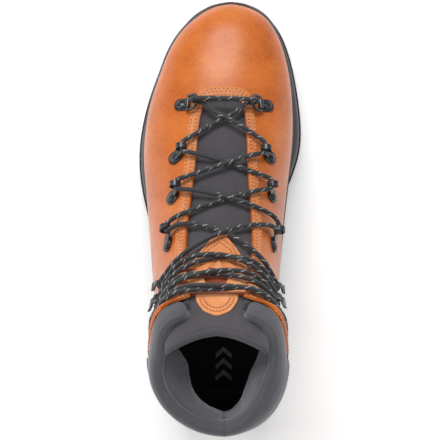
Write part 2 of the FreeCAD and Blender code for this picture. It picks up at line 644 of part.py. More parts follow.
class Eye:
    """One place where the lace turns: its (station, angle), the two mouths and the axes."""

    def __init__(self, a, angle, origin, ex, ey, ez, x, z, axis, half):
        self.a, self.angle = a, angle
        self.centre = origin + ex * x + ez * z
        self.axes = (origin, ex, ey, ez)
        self.front = self.centre - axis * half
        self.back = self.centre + axis * half


def heelward_axis(centre, normal, before, after):
    """The direction a lace takes through an eye, from the crossing before to the one after."""
    pull = unit(unit(before - centre) + unit(after - centre))
    axis = unit(normal.cross(pull))
    return axis if axis.dot(after - before) > 0 else axis * -1


def make_eyes():
    """The six loops and six hooks, as Eye objects by side."""
    eyes = {"medial": [], "lateral": []}
    for name, side in (("medial", 1), ("lateral", -1)):
        for row, (x, y, turn) in enumerate(LOOPS[name]):
            a, angle = locate(x, y, 7.7 + 1.2 * row, side * 40.0)
            origin, ex, ey, ez = seat(a, angle, turn)
            centre = origin + ex * LOOP_X + ez * LOOP_Z
            axis = heelward_axis(centre, ez, skin(CROSSINGS[row], 0), skin(CROSSINGS[row + 1], 0))
            ea, eangle = locate(centre.x, centre.y, a, angle)
            eyes[name].append(Eye(ea, eangle, origin, ex, ey, ez, LOOP_X, LOOP_Z, axis, 3.3))
        for row, (a, x, turn) in enumerate(HOOKS):
            angle = angle_at_width(a, side * x)
            origin, ex, ey, ez = seat(a, angle, turn)
            axis = ey if ey.dot(skin(a + 0.3, angle) - skin(a, angle)) > 0 else ey * -1
            eyes[name].append(Eye(a, angle, origin, ex, ey, ez, HOOK_X, HOOK_Z, axis, 4.2))
    return eyes


def ring_axes(name):
    """The clip's axes, and the laced ring's own axes about its bar."""
    x, y, turn = CLIPS[name]
    a, angle = locate(x, y, 6.1, 35.0 if x > 0 else -35.0)
    origin, ex, ey, ez = seat(a, angle, turn)
    tilt = math.radians(RING_TILT)
    rx = ex * math.cos(tilt) + ez * math.sin(tilt)
    rz = ez * math.cos(tilt) - ex * math.sin(tilt)
    bar = origin + ex * CLIP_BAR + ez * RING_AXIS_Z
    return (origin, ex, ey, ez), (bar, rx, ey, rz)


# ------------------------------------------------------------------ the lace
def strand(start, end, middle, over):
    """Points of one strand from an eye to the next across the throat."""
    points = []
    for f in (0.2, 0.5, 0.8):
        a = mix(start.a, end.a, f)
        share = 1 - abs(2 * f - 1)
        straight = mix(start.a, end.a, 0.5)
        a += (middle - straight) * math.sin(math.pi * f) ** 1.0
        angle = mix(start.angle, end.angle, f)
        lift = (5.7 if over else 1.5) if f == 0.5 else (5.9 if over else 5.5)
        points.append(skin(a, angle, lift))
    return points


def ring_turn(name, inner):
    """The lace's turn round a D-ring's bow, from above it to below, as corner points."""
    _, (bar, rx, ry, rz) = ring_axes(name)
    bow = bar + rx * RING_REACH
    k = BIGHT / math.cos(math.radians(36))
    points = []
    for degrees in (66, 138, 210, 282):
        t = math.radians(degrees)
        points.append(bow + rx * (math.cos(t) * k) + rz * (math.sin(t) * k))
    return points


def lace_route(eyes):
    """The whole lace: from one tucked end down to the D-rings and back up to the other."""
    halves = []
    for first in ("lateral", "medial"):
        other = {"lateral": "medial", "medial": "lateral"}
        side = first
        points = list(ring_turn(side, True))
        _, (bar, rx, ry, rz) = ring_axes(side)
        side = other[side]
        over = first == "lateral"
        low = Eye.__new__(Eye)
        x, y, turn = CLIPS[first]
        low.a, low.angle = locate(x - 12 if x > 0 else x + 12, y, 6.1, 12.0 if x > 0 else -12.0)
        previous = low
        for row in range(6):
            eye = eyes[side][row]
            points += strand(previous, eye, CROSSINGS[row], over)
            points += [eye.front, eye.back]
            previous = eye
            side = other[side]
            over = not over if False else over
        sign = 1 if side == "medial" else -1
        end = Eye.__new__(Eye)
        end.a, end.angle = 15.3, sign * 52.0
        points += strand(previous, end, CROSSINGS[6], over)
        for a, angle, lift in ((15.35, 55, 3.6), (15.3, 66, 3.0), (15.1, 75, 2.6), (14.8, 82, 2.4), (14.45, 88, 2.3)):
            points.append(skin(a, sign * angle, lift))
        halves.append(points)
    return list(reversed(halves[0])) + halves[1]


def tube(points, radius):
    """A round tube along straight runs joined by tangent arcs."""
    edges = []
    radii = []
    last = points[0]
    for before, corner, after in zip(points, points[1:], points[2:]):
        d1, d2 = corner - before, after - corner
        turn = d1.getAngle(d2)
        cut = 0.45 * min(d1.Length, d2.Length)
        radii.append(cut / math.tan(turn / 2))
        p1, p2 = corner - unit(d1) * cut, corner + unit(d2) * cut
        bisector = unit(unit(d2) - unit(d1))
        centre = corner + bisector * math.hypot(cut, radii[-1])
        middle = centre - bisector * radii[-1]
        edges.append(Part.LineSegment(last, p1).toShape())
        edges.append(Part.Arc(p1, middle, p2).toShape())
        last = p2
    edges.append(Part.LineSegment(last, points[-1]).toShape())
    wire = Part.Wire(edges)
    circle = Part.Wire(Part.makeCircle(radius, points[0], points[1] - points[0]))
    solid = wire.makePipeShell([circle], True, False)
    print("tube radii %.1f..%.1f, volume %.0f, section x length %.0f" % (
        min(radii), max(radii), solid.Volume, math.pi * radius ** 2 * wire.Length))
    return solid, radii


def make_hardware(eyes):
    """Clips, rings, loops, hooks and their rivets."""
    parts = {}
    rivets = {"clip_rivets": [], "loop_rivets_medial": [], "loop_rivets_lateral": [], "hook_rivets_medial": [],
              "hook_rivets_lateral": []}
    for name in ("medial", "lateral"):
        clip, ring = ring_axes(name)
        parts["ring_clip_" + name] = placed(make_clip(), *clip)
        parts["d_ring_" + name] = placed(make_ring(), *ring)
        rivets["clip_rivets"].append(placed(rivet(0, 0, 0.0, 1.3), *clip))
        print("joint", name, "at", [round(v, 3) for v in ring[0]], "axis", [round(v, 5) for v in ring[2]])
        for row, eye in enumerate(eyes[name]):
            origin, ex, ey, ez = eye.axes
            if row < 3:
                axis = unit(eye.back - eye.front)
                turn = math.degrees(math.atan2(axis.dot(ey * -1 if axis.dot(ey) > 0 else ey) * 0 - axis.dot(ex)
                                               * (1 if axis.dot(ey) > 0 else -1), abs(axis.dot(ey))))
                parts["lace_loop_%s_%d" % (name, row + 1)] = placed(make_loop(turn), *eye.axes)
                rivets["loop_rivets_" + name].append(placed(rivet(0, 0, 0.0, 1.3), *eye.axes))
            else:
                parts["lace_hook_%s_%d" % (name, row - 2)] = placed(make_hook(), *eye.axes)
                rivets["hook_rivets_" + name].append(placed(rivet(-4, 0, 0.0, 1.3, 2.6), *eye.axes))
    for name, shapes in rivets.items():
        parts[name] = Part.makeCompound(shapes)
    return parts


def make_lace(eyes):
    route = lace_route(eyes)
    lace, _ = tube(route, LACE_R)
    tips = []
    for end, inner in ((route[0], route[1]), (route[-1], route[-2])):
        out = unit(end - inner)
        tips.append(Part.makeCylinder(1.9, 16, end + out * 0.02, out))
    return {"lace": lace, "lace_tips": Part.makeCompound(tips)}


def write(parts):
    for name, shape in parts.items():
        shape.exportStep("parts/" + name + ".step")
        box = shape.BoundBox
        print("%-24s valid %s solids %d volume %9.1f  x %.1f..%.1f y %.1f..%.1f z %.1f..%.1f" % (
            name, shape.isValid(), len(shape.Solids), shape.Volume,
            box.XMin, box.XMax, box.YMin, box.YMax, box.ZMin, box.ZMax))


eyes = make_eyes()
write(make_upper())
write(make_tongue())
write(make_sole())
write(make_hardware(eyes))
write(make_lace(eyes))
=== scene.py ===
import math

import bmesh
import bpy
import numpy as np
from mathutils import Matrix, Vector
from mathutils.bvhtree import BVHTree
from mathutils.kdtree import KDTree


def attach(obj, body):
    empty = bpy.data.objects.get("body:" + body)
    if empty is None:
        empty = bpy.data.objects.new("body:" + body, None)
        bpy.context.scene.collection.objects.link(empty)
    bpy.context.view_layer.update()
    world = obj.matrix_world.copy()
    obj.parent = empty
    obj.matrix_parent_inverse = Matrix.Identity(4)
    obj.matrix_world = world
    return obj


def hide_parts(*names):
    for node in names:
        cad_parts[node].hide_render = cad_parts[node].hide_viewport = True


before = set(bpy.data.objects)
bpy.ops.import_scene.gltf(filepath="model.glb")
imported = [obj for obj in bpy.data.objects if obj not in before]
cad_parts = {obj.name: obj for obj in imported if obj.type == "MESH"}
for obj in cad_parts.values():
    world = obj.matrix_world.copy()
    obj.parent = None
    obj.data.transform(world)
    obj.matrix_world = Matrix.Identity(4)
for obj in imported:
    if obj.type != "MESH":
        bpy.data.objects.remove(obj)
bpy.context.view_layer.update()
rng = np.random.default_rng(7)
MM = 0.001


# ---------------------------------------------------------------- smooth curves through a few values
def spline(knots, flat_start=False):
    """A natural cubic through (position, value) knots, level at its start if flat_start."""
    x = np.array([k[0] for k in knots], float)
    y = np.array([k[1] for k in knots], float)
    n = len(x)
    h = np.diff(x)
    m = np.zeros((n, n))
    rhs = np.zeros(n)
    m[0, 0] = m[-1, -1] = 1
    if flat_start:
        m[0, :2] = 2 * h[0], h[0]
        rhs[0] = 6 * (y[1] - y[0]) / h[0]
    for i in range(1, n - 1):
        m[i, i - 1:i + 2] = h[i - 1], 2 * (h[i - 1] + h[i]), h[i]
        rhs[i] = 6 * ((y[i + 1] - y[i]) / h[i] - (y[i] - y[i - 1]) / h[i - 1])
    c = np.linalg.solve(m, rhs)

    def value(q):
        q = np.asarray(q, float)
        i = np.clip(np.searchsorted(x, q, side="left") - 1, 0, n - 2)
        t, b, g = q - x[i], x[i + 1] - q, h[i]
        return c[i] * b ** 3 / (6 * g) + c[i + 1] * t ** 3 / (6 * g) + (y[i] / g - c[i] * g / 6) * b + (
            y[i + 1] / g - c[i + 1] * g / 6) * t

    return value


def mix(p, q, t):
    return p + (q - p) * t


# ---------------------------------------------------------------- the boot's skin, as in the CAD model
FRONT = [(149.3, 47), (147.3, 54), (141.5, 60), (131.5, 65), (117, 69.5), (99, 75), (79, 83), (57, 92),
         (36, 101), (15, 111), (-4, 121), (-20, 131), (-32, 141), (-40, 149.5), (-45.5, 157), (-49.5, 163),
         (-52.5, 168), (-55, 173), (-57.5, 178)]
BACK = [(149.3, 29), (147.3, 28.5), (141.5, 27.6), (131.5, 26.6), (117, 25.7), (99, 25.2), (79, 25),
        (57, 25),
        (35, 25.5), (6, 27), (-30, 29.5), (-75, 33), (-115, 36), (-142, 46), (-150.5, 68), (-149, 92),
        (-145, 115), (-143, 138), (-143.5, 160)]
MEDIAL = [7.5, 20, 30.5, 38.3, 44.5, 48.8, 50.7, 51, 49, 45.8, 43, 40.5, 39.2, 38.9, 39.4, 40.5, 42.2, 44,
          46]
LATERAL = [7.5, -5, -15, -26, -35.5, -42.5, -49, -52.8, -53.3, -51, -48.5, -45.5, -43, -41.6, -41.6, -42.4,
           -44, -46.3, -48.5]
front_y = spline([(i, p[0]) for i, p in enumerate(FRONT)], True)
front_z = spline([(i, p[1]) for i, p in enumerate(FRONT)])
back_y = spline([(i, p[0]) for i, p in enumerate(BACK)], True)
back_z = spline([(i, p[1]) for i, p in enumerate(BACK)], True)
half_width = spline([(i, (a - b) / 2) for i, (a, b) in enumerate(zip(MEDIAL, LATERAL))])
middle_x = spline([(i, (a + b) / 2) for i, (a, b) in enumerate(zip(MEDIAL, LATERAL))], True)
ridge_x = spline([(0, 7.5), (2, 7), (4, 4.5), (6, 2.4), (9, 1), (12, -1), (15, -2), (18, -2)])
heel_x = spline([(0, 7.5), (3, 5.5), (6, 1.5), (9, -1.5), (12, 0), (15, 2), (18, 3.3)])
widest = spline([(0, 0.42), (4, 0.42), (6, 0.34), (8, 0.29), (10, 0.29), (11, 0.34), (12, 0.41), (13, 0.47),
                 (14, 0.51), (16, 0.55), (18, 0.58)])
round_front = spline([(0, 2.2), (4, 2.3), (6, 2.15), (8, 2.0), (10, 2.2), (11, 2.6), (12, 3.2), (13, 3.6),
                      (14, 3.8), (16, 3.8), (18, 3.6)])
round_back = spline([(0, 2.8), (4, 3), (9, 3), (12, 2.7), (13, 2.4), (14, 2.2), (16, 2.05), (18, 2.0)])
ground = spline([(0, 29), (2, 27.6), (4, 25.7), (6, 25), (8, 25.5), (9, 27), (10, 29.5), (11, 33), (12, 36),
                 (13, 37.2), (14, 38), (18, 41)])


def skin(a, angle, lift=0.0):
    """Points (millimetres) at station a and an angle from the top, positive to the medial side."""
    a, angle, lift = np.broadcast_arrays(np.asarray(a, float), np.asarray(angle, float),
                                         np.asarray(lift, float))
    fy, fz, by, bz = front_y(a), front_z(a), back_y(a), back_z(a)
    length = np.hypot(fy - by, fz - bz)
    uy, uz = (fy - by) / length, (fz - bz) / length
    toe = lift * np.maximum(0.0, 1 - a / 5.0) ** 2
    fy, fz, by, bz = fy + uy * lift + toe, fz + uz * lift, by - uy * lift + toe, bz - uz * lift
    share, width = widest(a), half_width(a)
    width = np.maximum(width + lift * np.minimum(1.0, width / 12.0), 0.0)
    angle = np.where(angle > 180, angle - 360, angle)
    side = np.where(angle >= 0, 1, -1)
    turn = np.radians(90 - np.abs(angle))
    c, v = np.abs(np.cos(turn)), np.sin(turn)
    e = np.where(v >= 0, round_front(a), round_back(a))
    r = (c ** e + np.abs(v) ** e) ** (-1 / e)
    out, up = r * c, r * v
    t = np.where(v >= 0, share + (1 - share) * up, share * (1 + up))
    centre = middle_x(a) + (np.where(v >= 0, ridge_x(a), heel_x(a)) - middle_x(a)) * up * up
    return np.stack([centre + side * width * out, by + t * (fy - by), bz + t * (fz - bz)], -1)


def bisect(f, low, high, shape):
    low, high = np.full(shape, float(low)), np.full(shape, float(high))
    rising = f(high) > f(low)
    for _ in range(40):
        mid = (low + high) / 2
        up = (f(mid) > 0) == rising
        high = np.where(up, mid, high)
        low = np.where(up, low, mid)
    return (low + high) / 2


def angle_at_height(a, z):
    a, z = np.broadcast_arrays(np.asarray(a, float), np.asarray(z, float))
    return bisect(lambda g: skin(a, g)[..., 2] - z, 0.0, 180.0, a.shape)


def angle_at_width(a, x):
    a, x = np.broadcast_arrays(np.asarray(a, float), np.asarray(x, float))
    side = np.where(x >= 0, 1.0, -1.0)
    return side * bisect(lambda g: np.abs(skin(a, side * g)[..., 0] - ridge_x(a)) - np.abs(x), 0.0, 89.0,
                         a.shape)


def rim_station(h):
    h = np.asarray(h, float)
    return bisect(lambda a: back_z(a) - ground(a) - h, 12.0, 18.0, h.shape)


throat_half = spline([(5.9, 12), (6.3, 14.6), (7, 16.6), (8, 17.6), (9, 19.4), (10, 21.4), (11, 22),
                      (12, 21.4),
                      (14, 19.2), (16, 17.4), (18, 16.2)])
tongue_half = spline([(5.6, 19), (7, 23), (9, 26), (11, 27.5), (14, 27), (16, 29.5), (18, 33.5), (20, 33)])
VAMP_END, THROAT_TOP = 5.9, 15.2


def throat(a, more=0.0):
    return angle_at_width(a, throat_half(a) + more)


throat_top_angle = float(throat(THROAT_TOP))
edge_a = spline([(0, THROAT_TOP), (0.18, 16.35), (0.36, 16.95), (0.55, 17.05), (0.66, 16.1), (0.8, 14.3),
                 (1, 12.3)])
edge_angle = spline([(0, throat_top_angle), (0.18, 44), (0.36, 66), (0.55, 91), (0.66, 106), (0.8, 124),
                     (1, float(angle_at_height(12.3, ground(12.3) + 0.8)))])


# ---------------------------------------------------------------- mesh helpers
def make(name, verts, faces, smooth=True):
    """A mesh object from points in millimetres."""
    mesh = bpy.data.meshes.new(name)
    mesh.from_pydata((np.asarray(verts, float) * MM).tolist(), [],
                     [tuple(int(i) for i in f) for f in faces])
    mesh.validate()
    mesh.update()
    if smooth:
        mesh.shade_smooth()
    obj = bpy.data.objects.new(name, mesh)
    bpy.context.scene.collection.objects.link(obj)
    return obj


def grid_faces(nu, nv, start=0, close_u=False, close_v=False):
    u = np.arange(nu if close_u else nu - 1)
    v = np.arange(nv if close_v else nv - 1)
    i, j = np.meshgrid(u, v, indexing="ij")
    i2, j2 = (i + 1) % nu, (j + 1) % nv
    return (start + np.stack([i * nv + j, i2 * nv + j, i2 * nv + j2, i * nv + j2], -1)).reshape(-1, 4)


def shell(name, patches, high, low, bevel=0.45, surface=skin):
    """A sheet with a thickness over one or more (stations, angles) grids that share their borders."""
    tops, bottoms, faces, count = [], [], [], 0
    for a, g in patches:
        lift = high(a, g) if callable(high) else high
        under = low(a, g) if callable(low) else low
        tops.append(surface(a, g, lift).reshape(-1, 3))
        bottoms.append(surface(a, g, under).reshape(-1, 3))
        faces.append(grid_faces(a.shape[0], a.shape[1], count))
        count += a.size
    top, bottom, faces = np.concatenate(tops), np.concatenate(bottoms), np.concatenate(faces)
    _, first, same = np.unique(np.round(top, 3), axis=0, return_index=True, return_inverse=True)
    same = same.reshape(-1)
    top, bottom, faces = top[first], bottom[first], same[faces]
    kept = []
    for f in faces:
        ring = [f[k] for k in range(4) if f[k] != f[k - 1]]
        if len(ring) > 2:
            kept.append(ring)
    edges = {}
    for ring in kept:
        for p, q in zip(ring, ring[1:] + ring[:1]):
            edges[(p, q)] = True
    rim = [(p, q) for p, q in edges if (q, p) not in edges]
    n = len(top)
    everything = [list(r) for r in kept] + [[i + n for i in reversed(r)] for r in kept]
    everything += [[q, p, p + n, q + n] for p, q in rim]
    obj = make(name, np.concatenate([top, bottom]), everything)
    bm = bmesh.new()
    bm.from_mesh(obj.data)
    bmesh.ops.recalc_face_normals(bm, faces=bm.faces)
    layer = bm.edges.layers.float.new("bevel_weight_edge")
    corners = {(p, q) for p, q in rim} | {(p + n, q + n) for p, q in rim}
    for edge in bm.edges:
        i, j = edge.verts[0].index, edge.verts[1].index
        if (i, j) in corners or (j, i) in corners:
            edge[layer] = 1.0
    bm.to_mesh(obj.data)
    bm.free()
    if bevel:
        mod = obj.modifiers.new("edge", "BEVEL")
        mod.limit_method = "WEIGHT"
        mod.width = bevel * MM
        mod.segments = 3
        mod.use_clamp_overlap = True
        mod.harden_normals = False
    return obj


def resample(points, step):
    """Points every step millimetres along a polyline."""
    seg = np.linalg.norm(np.diff(points, axis=0), axis=1)
    s = np.concatenate([[0], np.cumsum(seg)])
    n = max(2, int(round(s[-1] / step)) + 1)
    t = np.linspace(0, s[-1], n)
    return np.stack([np.interp(t, s, points[:, k]) for k in range(3)], -1)


def frames(points, up=None):
    """Tangents, normals and binormals along a polyline, turning as little as they can."""
    t = np.gradient(points, axis=0)
    t /= np.linalg.norm(t, axis=1)[:, None]
    n = np.zeros_like(t)
    guess = np.array([0, 0, 1.0]) if up is None else np.asarray(up, float)
    if abs(t[0] @ guess) > 0.9:
        guess = np.array([0, 1.0, 0])
    n[0] = guess - (guess @ t[0]) * t[0]
    n[0] /= np.linalg.norm(n[0])
    for i in range(1, len(t)):
        n[i] = n[i - 1] - (n[i - 1] @ t[i]) * t[i]
        n[i] /= np.linalg.norm(n[i])
    return t, n, np.cross(t, n)


def tube(name, points, radius, sides=12, capped=True):
    """A tube along points; radius may be a function of (index fraction, angle)."""
    t, n, b = frames(points)
    k = len(points)
    ang = np.linspace(0, 2 * np.pi, sides, endpoint=False)
    r = radius(np.arange(k)[:, None], ang[None, :]) if callable(radius) else np.full((k, sides), radius)
    ring = points[:, None, :] + r[..., None] * (np.cos(ang)[None, :, None] * n[:, None, :]
                                                + np.sin(ang)[None, :, None] * b[:, None, :])
    verts = ring.reshape(-1, 3)
    faces = grid_faces(k, sides, close_v=True)[:, ::-1].tolist()
    if capped:
        faces.append(list(range(sides)))
        faces.append([(k - 1) * sides + i for i in range(sides)][::-1])
    return make(name, verts, faces)


# ---------------------------------------------------------------- materials
def nodes_of(name):
    mat = bpy.data.materials.new(name)
    mat.use_nodes = True
    tree = mat.node_tree
    tree.nodes.clear()
    out = tree.nodes.new("ShaderNodeOutputMaterial")
    bsdf = tree.nodes.new("ShaderNodeBsdfPrincipled")
    tree.links.new(bsdf.outputs[0], out.inputs[0])
    return mat, tree, bsdf


class Graph:
    """Short names for the shader nodes the materials use."""

    def __init__(self, name):
        self.mat, self.tree, self.bsdf = nodes_of(name)
        self.coord = self.tree.nodes.new("ShaderNodeTexCoord").outputs["Object"]

    def link(self, a, b):
        self.tree.links.new(a, b)

    def put(self, socket, value):
        if hasattr(value, "is_linked"):
            self.link(value, socket)
        else:
            socket.default_value = value

    def scaled(self, scale):
        node = self.tree.nodes.new("ShaderNodeMapping")
        node.inputs["Scale"].default_value = scale if hasattr(scale, "__len__") else (scale,) * 3
        self.link(self.coord, node.inputs["Vector"])
        return node.outputs[0]

    def noise(self, scale, detail=3.0, rough=0.55, distortion=0.0, vector=None):
        node = self.tree.nodes.new("ShaderNodeTexNoise")
        node.inputs["Scale"].default_value = scale
        node.inputs["Detail"].default_value = detail
        node.inputs["Roughness"].default_value = rough
        node.inputs["Distortion"].default_value = distortion
        self.link(vector or self.coord, node.inputs["Vector"])
        return node.outputs["Fac"]

    def voronoi(self, scale, feature="F1", vector=None):
        node = self.tree.nodes.new("ShaderNodeTexVoronoi")
        node.feature = feature
        node.inputs["Scale"].default_value = scale
        self.link(vector or self.coord, node.inputs["Vector"])
        return node.outputs["Distance"]

    def wave(self, scale, direction="X", distortion=0.0, vector=None, profile="SIN"):
        node = self.tree.nodes.new("ShaderNodeTexWave")
        node.bands_direction = direction
        node.wave_profile = profile
        node.inputs["Scale"].default_value = scale
        node.inputs["Distortion"].default_value = distortion
        self.link(vector or self.coord, node.inputs["Vector"])
        return node.outputs["Fac"]

    def math(self, op, a, b=0.0, clamp=False):
        node = self.tree.nodes.new("ShaderNodeMath")
        node.operation = op
        node.use_clamp = clamp
        self.put(node.inputs[0], a)
        self.put(node.inputs[1], b)
        return node.outputs[0]

    def ramp(self, fac, stops):
        node = self.tree.nodes.new("ShaderNodeValToRGB")
        ramp = node.color_ramp
        while len(ramp.elements) < len(stops):
            ramp.elements.new(0.5)
        for element, (pos, colour) in zip(ramp.elements, stops):
            element.position = pos
            element.color = (*colour, 1) if hasattr(colour, "__len__") else (colour, colour, colour, 1)
        self.link(fac, node.inputs[0])
        return node.outputs[0]

    def blend(self, fac, a, b, kind="MIX"):
        node = self.tree.nodes.new("ShaderNodeMix")
        node.data_type = "RGBA"
        node.blend_type = kind
        self.put(node.inputs[0], fac)
        self.put(node.inputs[6], (*a, 1) if isinstance(a, tuple) else a)
        self.put(node.inputs[7], (*b, 1) if isinstance(b, tuple) else b)
        return node.outputs[2]

    def attribute(self, name):
        node = self.tree.nodes.new("ShaderNodeAttribute")
        node.attribute_name = name
        return node.outputs["Fac"]

    def bump(self, height, strength, distance, normal=None):
        node = self.tree.nodes.new("ShaderNodeBump")
        node.inputs["Strength"].default_value = strength
        node.inputs["Distance"].default_value = distance * MM
        self.link(height, node.inputs["Height"])
        if normal is not None:
            self.link(normal, node.inputs["Normal"])
        return node.outputs[0]

    def done(self, colour=None, rough=None, normal=None, **fixed):
        if colour is not None:
            self.put(self.bsdf.inputs["Base Color"], (*colour, 1) if isinstance(colour, tuple) else colour)
        if rough is not None:
            self.put(self.bsdf.inputs["Roughness"], rough)
        if normal is not None:
            self.link(normal, self.bsdf.inputs["Normal"])
        for name, value in fixed.items():
            self.bsdf.inputs[name.replace("_", " ")].default_value = value
        return self.mat


def leather(name, light, base, dark, rough=(0.34, 0.5), grain=1.0, coat=0.16):
    """Full-grain leather: pull-up mottling, fine pores and shallow creases."""
    g = Graph(name)
    cloud = g.noise(22, 4, 0.6)
    fine = g.noise(420, 3, 0.6)
    tone = g.math("ADD", g.math("MULTIPLY", cloud, 0.72), g.math("MULTIPLY", fine, 0.28))
    colour = g.ramp(tone, [(0.30, dark), (0.5, base), (0.70, light)])
    pores = g.voronoi(1250, vector=g.scaled((1, 0.8, 1)))
    creases = g.noise(900, 2, 0.7, 0.6)
    soft = g.noise(60, 3, 0.5)
    n1 = g.bump(soft, 0.35, 0.5 * grain)
    n2 = g.bump(creases, 0.35, 0.12 * grain, n1)
    n3 = g.bump(pores, 0.25, 0.08 * grain, n2)
    roughness = g.ramp(g.noise(55, 4), [(0.3, rough[0]), (0.7, rough[1])])
    return g.done(colour, roughness, n3, Coat_Weight=coat, Coat_Roughness=0.32, Sheen_Weight=0.05,
                  Sheen_Roughness=0.45, Sheen_Tint=(1.0, 0.82, 0.76, 1), Specular_IOR_Level=0.32)


def nubuck(name, base, light, rough=0.82):
    """Matt microfibre: a short nap with soft cloudy shading."""
    g = Graph(name)
    cloud = g.noise(38, 5, 0.65)
    nap = g.noise(1500, 3, 0.7)
    tone = g.math("ADD", g.math("MULTIPLY", cloud, 0.6), g.math("MULTIPLY", nap, 0.4))
    colour = g.ramp(tone, [(0.3, base), (0.72, light)])
    n1 = g.bump(g.noise(85, 3), 0.3, 0.5)
    n2 = g.bump(nap, 0.35, 0.12, n1)
    return g.done(colour, rough, n2, Sheen_Weight=0.5, Sheen_Roughness=0.55, Sheen_Tint=(0.9, 0.9, 1.0, 1))


def weave(name, base, light, scale=620.0, depth=0.18, rough=0.85):
    """A plain woven or knitted textile."""
    g = Graph(name)
    over = g.wave(scale, "X", 0.4)
    under = g.wave(scale, "Y", 0.4)
    third = g.wave(scale, "Z", 0.4)
    threads = g.math("MULTIPLY", g.math("ADD", over, under), g.math("ADD", third, 0.35))
    cloud = g.noise(60, 4)
    tone = g.math("ADD", g.math("MULTIPLY", threads, 0.35), g.math("MULTIPLY", cloud, 0.65))
    colour = g.ramp(tone, [(0.25, base), (0.8, light)])
    n1 = g.bump(cloud, 0.3, 0.6)
    n2 = g.bump(threads, 0.5, depth, n1)
    return g.done(colour, rough, n2, Sheen_Weight=0.3, Sheen_Roughness=0.6)


def ribbed(name, base, light, pitch=1.9):
    """A stretch textile with fine raised ribs lying across the heel."""
    g = Graph(name)
    ribs = g.wave(math.pi * 2 / pitch / MM / 20 * 1.0, "Z", 0.25)
    fine = g.noise(1300, 3, 0.7)
    tone = g.math("ADD", g.math("MULTIPLY", ribs, 0.6), g.math("MULTIPLY", fine, 0.4))
    colour = g.ramp(tone, [(0.2, base), (0.8, light)])
    n1 = g.bump(ribs, 0.8, 0.5)
    n2 = g.bump(fine, 0.4, 0.1, n1)
    return g.done(colour, 0.72, n2, Sheen_Weight=0.4, Sheen_Roughness=0.5)


def rubber(name, base, light, rough=0.62, speck=0.5):
    """Moulded rubber or foam with a fine eroded texture and scuffs on its high spots."""
    g = Graph(name)
    fine = g.noise(1600, 3, 0.7)
    cloud = g.noise(70, 4, 0.6)
    tone = g.math("ADD", g.math("MULTIPLY", cloud, 0.7), g.math("MULTIPLY", fine, 0.3))
    colour = g.ramp(tone, [(0.35, base), (0.75, light)])
    n1 = g.bump(fine, 0.3 * speck, 0.1)
    return g.done(colour, g.ramp(cloud, [(0.3, rough - 0.08), (0.7, rough + 0.1)]), n1,
                  Specular_IOR_Level=0.45)


def metal(name, base, light, rough=0.36):
    """Black coated steel, slightly brightened and polished where it wears."""
    g = Graph(name)
    cloud = g.noise(300, 4, 0.6)
    colour = g.ramp(cloud, [(0.4, base), (0.8, light)])
    n1 = g.bump(g.noise(2200, 2), 0.12, 0.05)
    return g.done(colour, g.ramp(cloud, [(0.3, rough - 0.08), (0.7, rough + 0.1)]), n1, Metallic=0.65,
                  Coat_Weight=0.3, Coat_Roughness=0.2)


def plain(name, base, light, rough=0.5, scale=300):
    g = Graph(name)
    cloud = g.noise(scale, 4)
    return g.done(g.ramp(cloud, [(0.3, base), (0.7, light)]), rough, g.bump(cloud, 0.15, 0.1))


M_LEATHER = leather("cognac_leather", (0.70, 0.205, 0.038), (0.58, 0.140, 0.020), (0.40, 0.080, 0.010),
                    (0.32, 0.42))
M_BAND = leather("band_leather", (0.80, 0.30, 0.10), (0.70, 0.225, 0.062), (0.50, 0.13, 0.032), grain=1.4,
                 coat=0.1)
M_PATCH = leather("patch_leather", (0.90, 0.42, 0.20), (0.82, 0.31, 0.115), (0.62, 0.19, 0.055), grain=1.6,
                  coat=0.05)
# painted shade: a darker leather colour for the strips under the stitch rows, standing in for the shadow in
# the stitch grooves
M_GROOVE_SHADE = plain("stitch_groove_painted_shade", (0.36, 0.100, 0.030), (0.46, 0.135, 0.042), 0.7)
M_FLEX = leather("rust_leather", (0.36, 0.085, 0.035), (0.27, 0.055, 0.022), (0.14, 0.03, 0.014),
                 (0.5, 0.62), 1.3, 0.05)
M_NUBUCK = nubuck("grey_nubuck", (0.052, 0.050, 0.056), (0.092, 0.089, 0.098))
M_TONGUE = weave("tongue_textile", (0.034, 0.031, 0.037), (0.072, 0.065, 0.077), 900, 0.1)
M_TAB = leather("pale_tab_leather", (0.88, 0.48, 0.26), (0.80, 0.38, 0.18), (0.62, 0.26, 0.10), grain=1.6,
                coat=0.02)
M_RIB = ribbed("ribbed_textile", (0.075, 0.075, 0.078), (0.30, 0.30, 0.31))
M_LINING = weave("lining_mesh", (0.010, 0.009, 0.011), (0.030, 0.027, 0.031), 700, 0.15)
M_BOARD = plain("fibre_board", (0.25, 0.22, 0.18), (0.34, 0.30, 0.25), 0.85)
M_OUTSOLE = rubber("outsole_rubber", (0.016, 0.016, 0.017), (0.035, 0.035, 0.037), 0.66)
M_RAND = rubber("rand_rubber", (0.085, 0.080, 0.084), (0.150, 0.143, 0.150), 0.5)
M_MIDSOLE = rubber("midsole_foam", (0.085, 0.083, 0.088), (0.14, 0.137, 0.145), 0.6, 0.8)
M_STEEL = metal("black_steel", (0.020, 0.021, 0.023), (0.11, 0.112, 0.12))
M_THREAD = plain("stitch_thread", (0.72, 0.33, 0.14), (0.88, 0.50, 0.28), 0.6)
M_THREAD_GREY = plain("grey_thread", (0.035, 0.035, 0.038), (0.09, 0.09, 0.095), 0.6)
M_TIP = plain("lace_tip_plastic", (0.012, 0.012, 0.013), (0.03, 0.03, 0.032), 0.28)
M_SHANK = plain("nylon_shank", (0.05, 0.05, 0.05), (0.09, 0.09, 0.09), 0.5)
M_FOOTBED = weave("footbed_cloth", (0.006, 0.005, 0.007), (0.017, 0.014, 0.018), 800, 0.1)


def dress(obj, material):
    obj.data.materials.clear()
    obj.data.materials.append(material)
    return obj


def ride(obj, slot, *replaced):
    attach(obj, "boot")
    if replaced:
        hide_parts(*replaced)
    return obj


